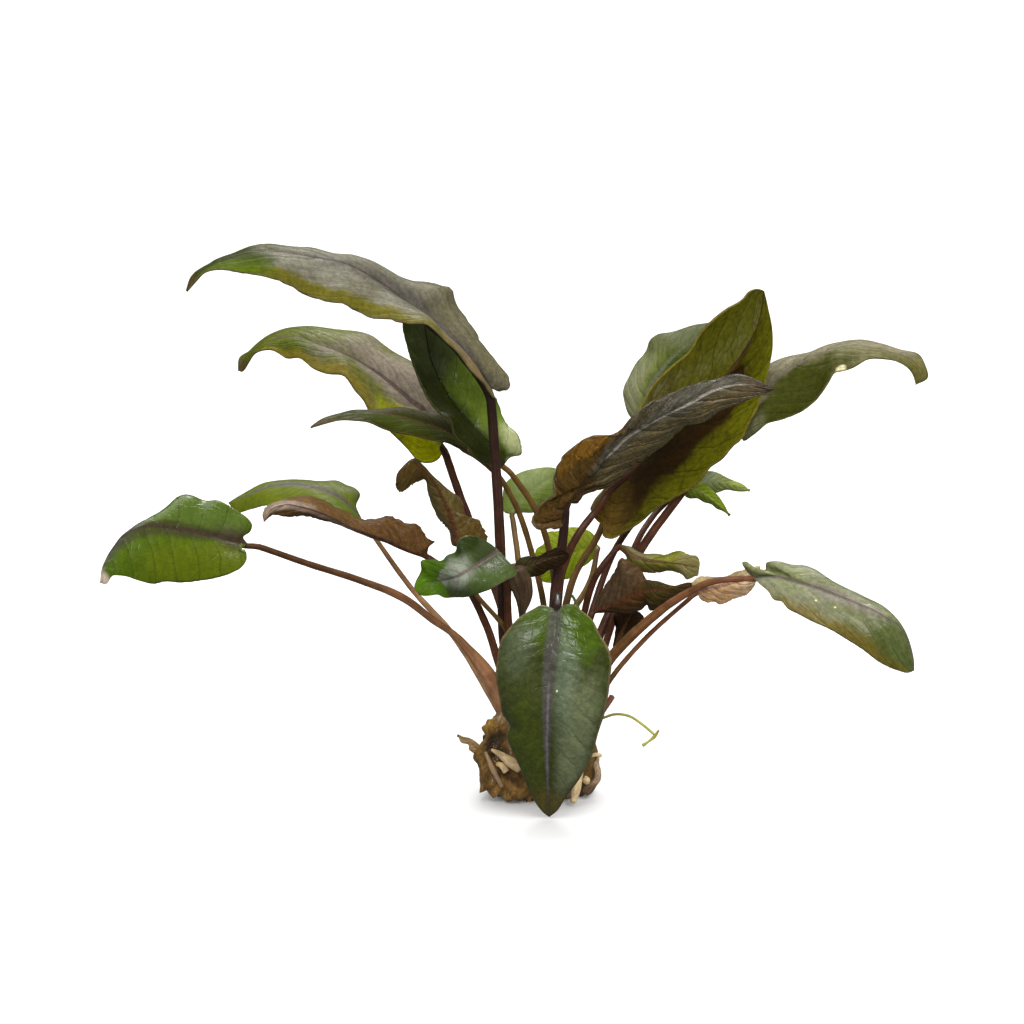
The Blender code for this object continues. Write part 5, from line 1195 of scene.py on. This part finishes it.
# The brown down the inner side of the right husk is painted shade.
RIGHT_HUSK_SKIN = blade_skin(
    "right_husk_skin", main=(0.6, 0.44, 0.28), patch=(0.46, 0.31, 0.18), rib=(0.5, 0.36, 0.22),
    vein=(0.26, 0.16, 0.08), rim=(0.66, 0.5, 0.32), under=(0.1, 0.05, 0.018), patch_scale=190.0,
    rib_share=0.2, relief=0.8,
    zones=((0.5, 0.9, 0.9, 0.22, (0.16, 0.09, 0.05), 0.9, 0.4),
           (0.95, 0.45, 0.2, 0.4, (0.24, 0.14, 0.06), 0.7, 0.4)))
blade(
    "right_husk", RIGHT_HUSK_SKIN, "sheath_right", "crown", rib_depth=(-3, -5, -7, -8, -8.5), width=5.0,
    away_right=0.3, away_left=0.6, bulge=0.2, ripple=0.1, quilt=0.0, lumps=0.5, ragged=0.05,
    rib=[(12.8, 10.4), (13.6, 7.0), (14.0, 4.3), (12.6, 1.8), (11.3, -0.3)],
    right=[(12.2, 8.8), (12.5, 6.5), (12.8, 4.4), (11.2, 2.6), (10.2, 1.0)],
    left=[(13.8, 10.0), (14.5, 7.0), (15.0, 4.3), (13.7, 1.9), (12.3, 0.3)])
HUSK_COLUMNS = 44
HUSK_RISES = 24
HUSK_THICKNESS = 0.3
HUSK_FLARE = 0.8
HUSK_WAVES = 0.7
HUSK_TEARS = 3.0
HUSK_SWAY_DEGREES = 4.0
HUSK_OFF_FLOOR = 0.15
HUSK_OFF_STUMP = 0.4


def husk(name, skin, first, last, low, high, stand):
    # a husk laid around the stump between two angles, its lower and upper edge torn
    work = bmesh.new()
    bmesh.ops.create_grid(work, x_segments=HUSK_COLUMNS, y_segments=HUSK_RISES, size=0.5)
    seed = Vector((first * 0.1, last * 0.07, 3.0))
    for vertex in work.verts:
        share = vertex.co.x + 0.5
        part = vertex.co.y + 0.5
        bottom, top, out = (smooth_curve(values, [share])[0][0] for values in (low, high, stand))
        tear = noise.noise(seed + Vector((share * 6, 0, 0)))
        tear += 0.5 * noise.noise(seed + Vector((share * 21, 0, 0)))
        wear = 0.5 * HUSK_TEARS * noise.noise(seed + Vector((0, share * 13, 0)))
        height = bottom + wear * (1 - part) + (top - bottom + HUSK_TEARS * tear) * part
        height = min(max(height, HUSK_OFF_FLOOR), CROWN_HEIGHT)
        sway = HUSK_SWAY_DEGREES * noise.noise(seed + Vector((part * 4, 0, share * 3)))
        out += HUSK_FLARE * part ** 2
        out += HUSK_WAVES * noise.noise(seed + Vector((share * 5, part * 3, 0)))
        angle = math.radians(first + (last - first) * share + sway)
        reach = crown_radius(angle, height) + max(out, HUSK_OFF_STUMP)
        vertex.co = Vector((reach * math.cos(angle), reach * math.sin(angle), height))
    bmesh.ops.solidify(work, geom=work.faces[:], thickness=HUSK_THICKNESS)
    bmesh.ops.recalc_face_normals(work, faces=work.faces)
    finish_piece(name, work, skin, "crown")


husk("front_husk", HUSK_SKIN, 232, 300, low=(1.5, 0.3, 2.0, 0.5), high=(9.0, 13.0, 11.0, 7.0),
     stand=(1.0, 1.6, 1.4, 0.8))
husk("front_right_husk", TAN_HUSK_SKIN, 300, 338, low=(2.0, 0.3, 1.0), high=(9.0, 12.0, 8.0),
     stand=(0.8, 1.2, 0.8))
husk("right_side_husk", HUSK_SKIN, -46, 42, low=(1.0, 0.5, 0.8, 2.0), high=(9.0, 13.0, 17.0, 12.0),
     stand=(2.2, 2.2, 1.7, 1.0))
husk("back_right_husk", HUSK_SKIN, 30, 95, low=(1.0, 0.3, 0.6, 1.0), high=(14.0, 19.0, 16.0, 10.0),
     stand=(1.0, 1.6, 1.4, 0.9))
husk("back_husk", TAN_HUSK_SKIN, 82, 128, low=(2.5, 0.6, 1.0), high=(11.0, 13.5, 9.0), stand=(1.8, 2.4, 1.6))
husk("back_left_husk", HUSK_SKIN, 112, 180, low=(0.8, 0.3, 0.5, 1.5), high=(16.0, 20.0, 17.0, 13.0),
     stand=(0.9, 1.5, 1.5, 1.2))
husk("left_side_husk", HUSK_SKIN, 158, 222, low=(0.6, 0.3, 1.0, 1.2), high=(9.0, 13.0, 12.0, 8.0),
     stand=(1.6, 2.2, 2.4, 1.6))

# Roots have been cut short: pale fleshy stubs, cream where fresh and grey brown where older, stand off the
# stump, and one torn flat flake of root to the left.
ROOT_SKIN = stem_skin(
    "root_skin", low=(0.66, 0.48, 0.23), high=(0.8, 0.62, 0.35), streak=(0.46, 0.29, 0.11), streaks=0.6,
    roughness=0.42, coat=0.15, turns=2.0, run=4.0)
OLD_ROOT_SKIN = stem_skin(
    "old_root_skin", low=(0.42, 0.28, 0.13), high=(0.36, 0.24, 0.14), streak=(0.2, 0.11, 0.05), streaks=0.6,
    roughness=0.45, coat=0.15, turns=2.0, run=4.0)
CUT_ROOT_RINGS = 40


def cut_root(node, route, thick, skin=ROOT_SKIN, flat=1.0, lumps=0.35, end_round=0.45,
             name=None):
    # the route is given as across and up in the front view, and depth
    stem(name or node + "_piece", skin, node, [seen(*spot) for spot in route], thick,
         rings=CUT_ROOT_RINGS, lumps=lumps, flat=flat, end_round=end_round)


ROOT_FLAKE_SKIN = blade_skin(
    "root_flake_skin", main=(0.66, 0.46, 0.22), patch=(0.52, 0.33, 0.13), rib=(0.66, 0.46, 0.22),
    vein=(0.4, 0.24, 0.09), rim=(0.74, 0.56, 0.32), under=(0.45, 0.29, 0.12), patch_scale=220.0,
    rib_share=0.0, relief=0.8, roughness=0.45, coat=0.1)
blade(
    "root_flake", ROOT_FLAKE_SKIN, "root_far_left", "root", rib_depth=(-6, -8.5, -10, -11), width=3.2,
    away_right=0.3, away_left=0.3, bulge=0.25, ripple=0.05, quilt=0.0, lumps=0.5, ragged=0.1,
    rib=[(-12.6, 9.6), (-15.6, 11.4), (-17.6, 13.0), (-19.8, 14.3)],
    right=[(-14.8, 12.4), (-17.0, 13.8), (-18.6, 14.1)],
    left=[(-14.4, 9.4), (-16.2, 10.2), (-17.1, 10.9), (-17.2, 12.1), (-18.8, 12.5)])
cut_root("root_front_upper", [(-11.7, 10.9, -12.0), (-9.9, 10.0, -13.6), (-7.6, 8.4, -14.6),
                              (-4.5, 6.0, -15.5)], (0.6, 1.7, 2.4, 2.4))
cut_root("root_front_thin", [(-13.2, 10.4, -13.0), (-11.4, 6.4, -14.5), (-9.0, 1.8, -14.5)], (0.9, 1.3, 1.3),
         skin=OLD_ROOT_SKIN)
cut_root("root_front_stub", [(-10.4, 7.4, -13.5), (-9.2, 7.0, -14.5), (-8.0, 5.4, -14.8)], (1.1, 1.5, 1.7))
cut_root("root_front_low", [(8.0, 8.0, -5.0), (9.6, 6.5, -9.0), (9.0, 3.5, -12.5), (8.4, 0.5, -14.2),
                            (7.8, -2.0, -15.5)], (1.2, 1.6, 1.9, 2.0, 1.8), end_round=0.9)
cut_root("root_right_stub", [(8.5, 4.4, -4.0), (10.4, 3.9, -7.0), (11.6, 3.0, -9.0)], (1.5, 1.9, 2.2),
         end_round=1.0)
cut_root("sheath_right", [(10.8, 9.4, -4.0), (12.2, 9.4, -6.0), (13.4, 9.7, -6.5), (14.9, 9.4, -6.5)],
         (1.1, 1.3, 1.2, 0.9), name="torn_fibre", end_round=0.2)

# A reddish stalk was torn off at the right of the crown. A flat sliver of it is left, cut straight across,
# with its pale fibres showing.
CUT_STALK_SKIN = stem_skin(
    "cut_stalk_skin", low=(0.1, 0.03, 0.016), high=(0.13, 0.04, 0.022), streak=(0.36, 0.22, 0.14),
    streaks=0.35, turns=3.0, run=0.6)
cut_root("cut_stalk", [(11.5, 15.5, -3.0), (14.4, 19.0, -4.0), (16.2, 21.8, -4.0), (17.5, 24.0, -4.0)],
         (0.9, 1.1, 1.3, 1.5), skin=CUT_STALK_SKIN, end_round=0.05, flat=0.3, lumps=0.15)

# A thin yellow green runner leaves the crown on the right and ends in a crosswise tip. It is a smooth, fleshy
# shoot, a millimetre thick at most.
RUNNER_SKIN = stem_skin(
    "runner_skin", low=(0.42, 0.38, 0.08), high=(0.5, 0.48, 0.1), streak=(0.3, 0.27, 0.05), streaks=0.3)
cut_root("runner", [(10.0, 16.0, 0.0), (15.4, 18.6, -1.0), (18.2, 19.4, -2.0), (21.5, 18.9, -3.0),
                    (24.6, 16.9, -4.0), (27.6, 14.4, -5.0)],
         (0.8, 0.7, 0.65, 0.7), skin=RUNNER_SKIN, lumps=0.1)
cut_root("runner_tip", [(28.6, 15.7, -5.0), (27.6, 14.2, -5.0), (26.0, 12.8, -5.0), (24.5, 11.8, -5.0)],
         (0.45, 0.9, 0.6, 1.0), skin=RUNNER_SKIN, lumps=0.1)
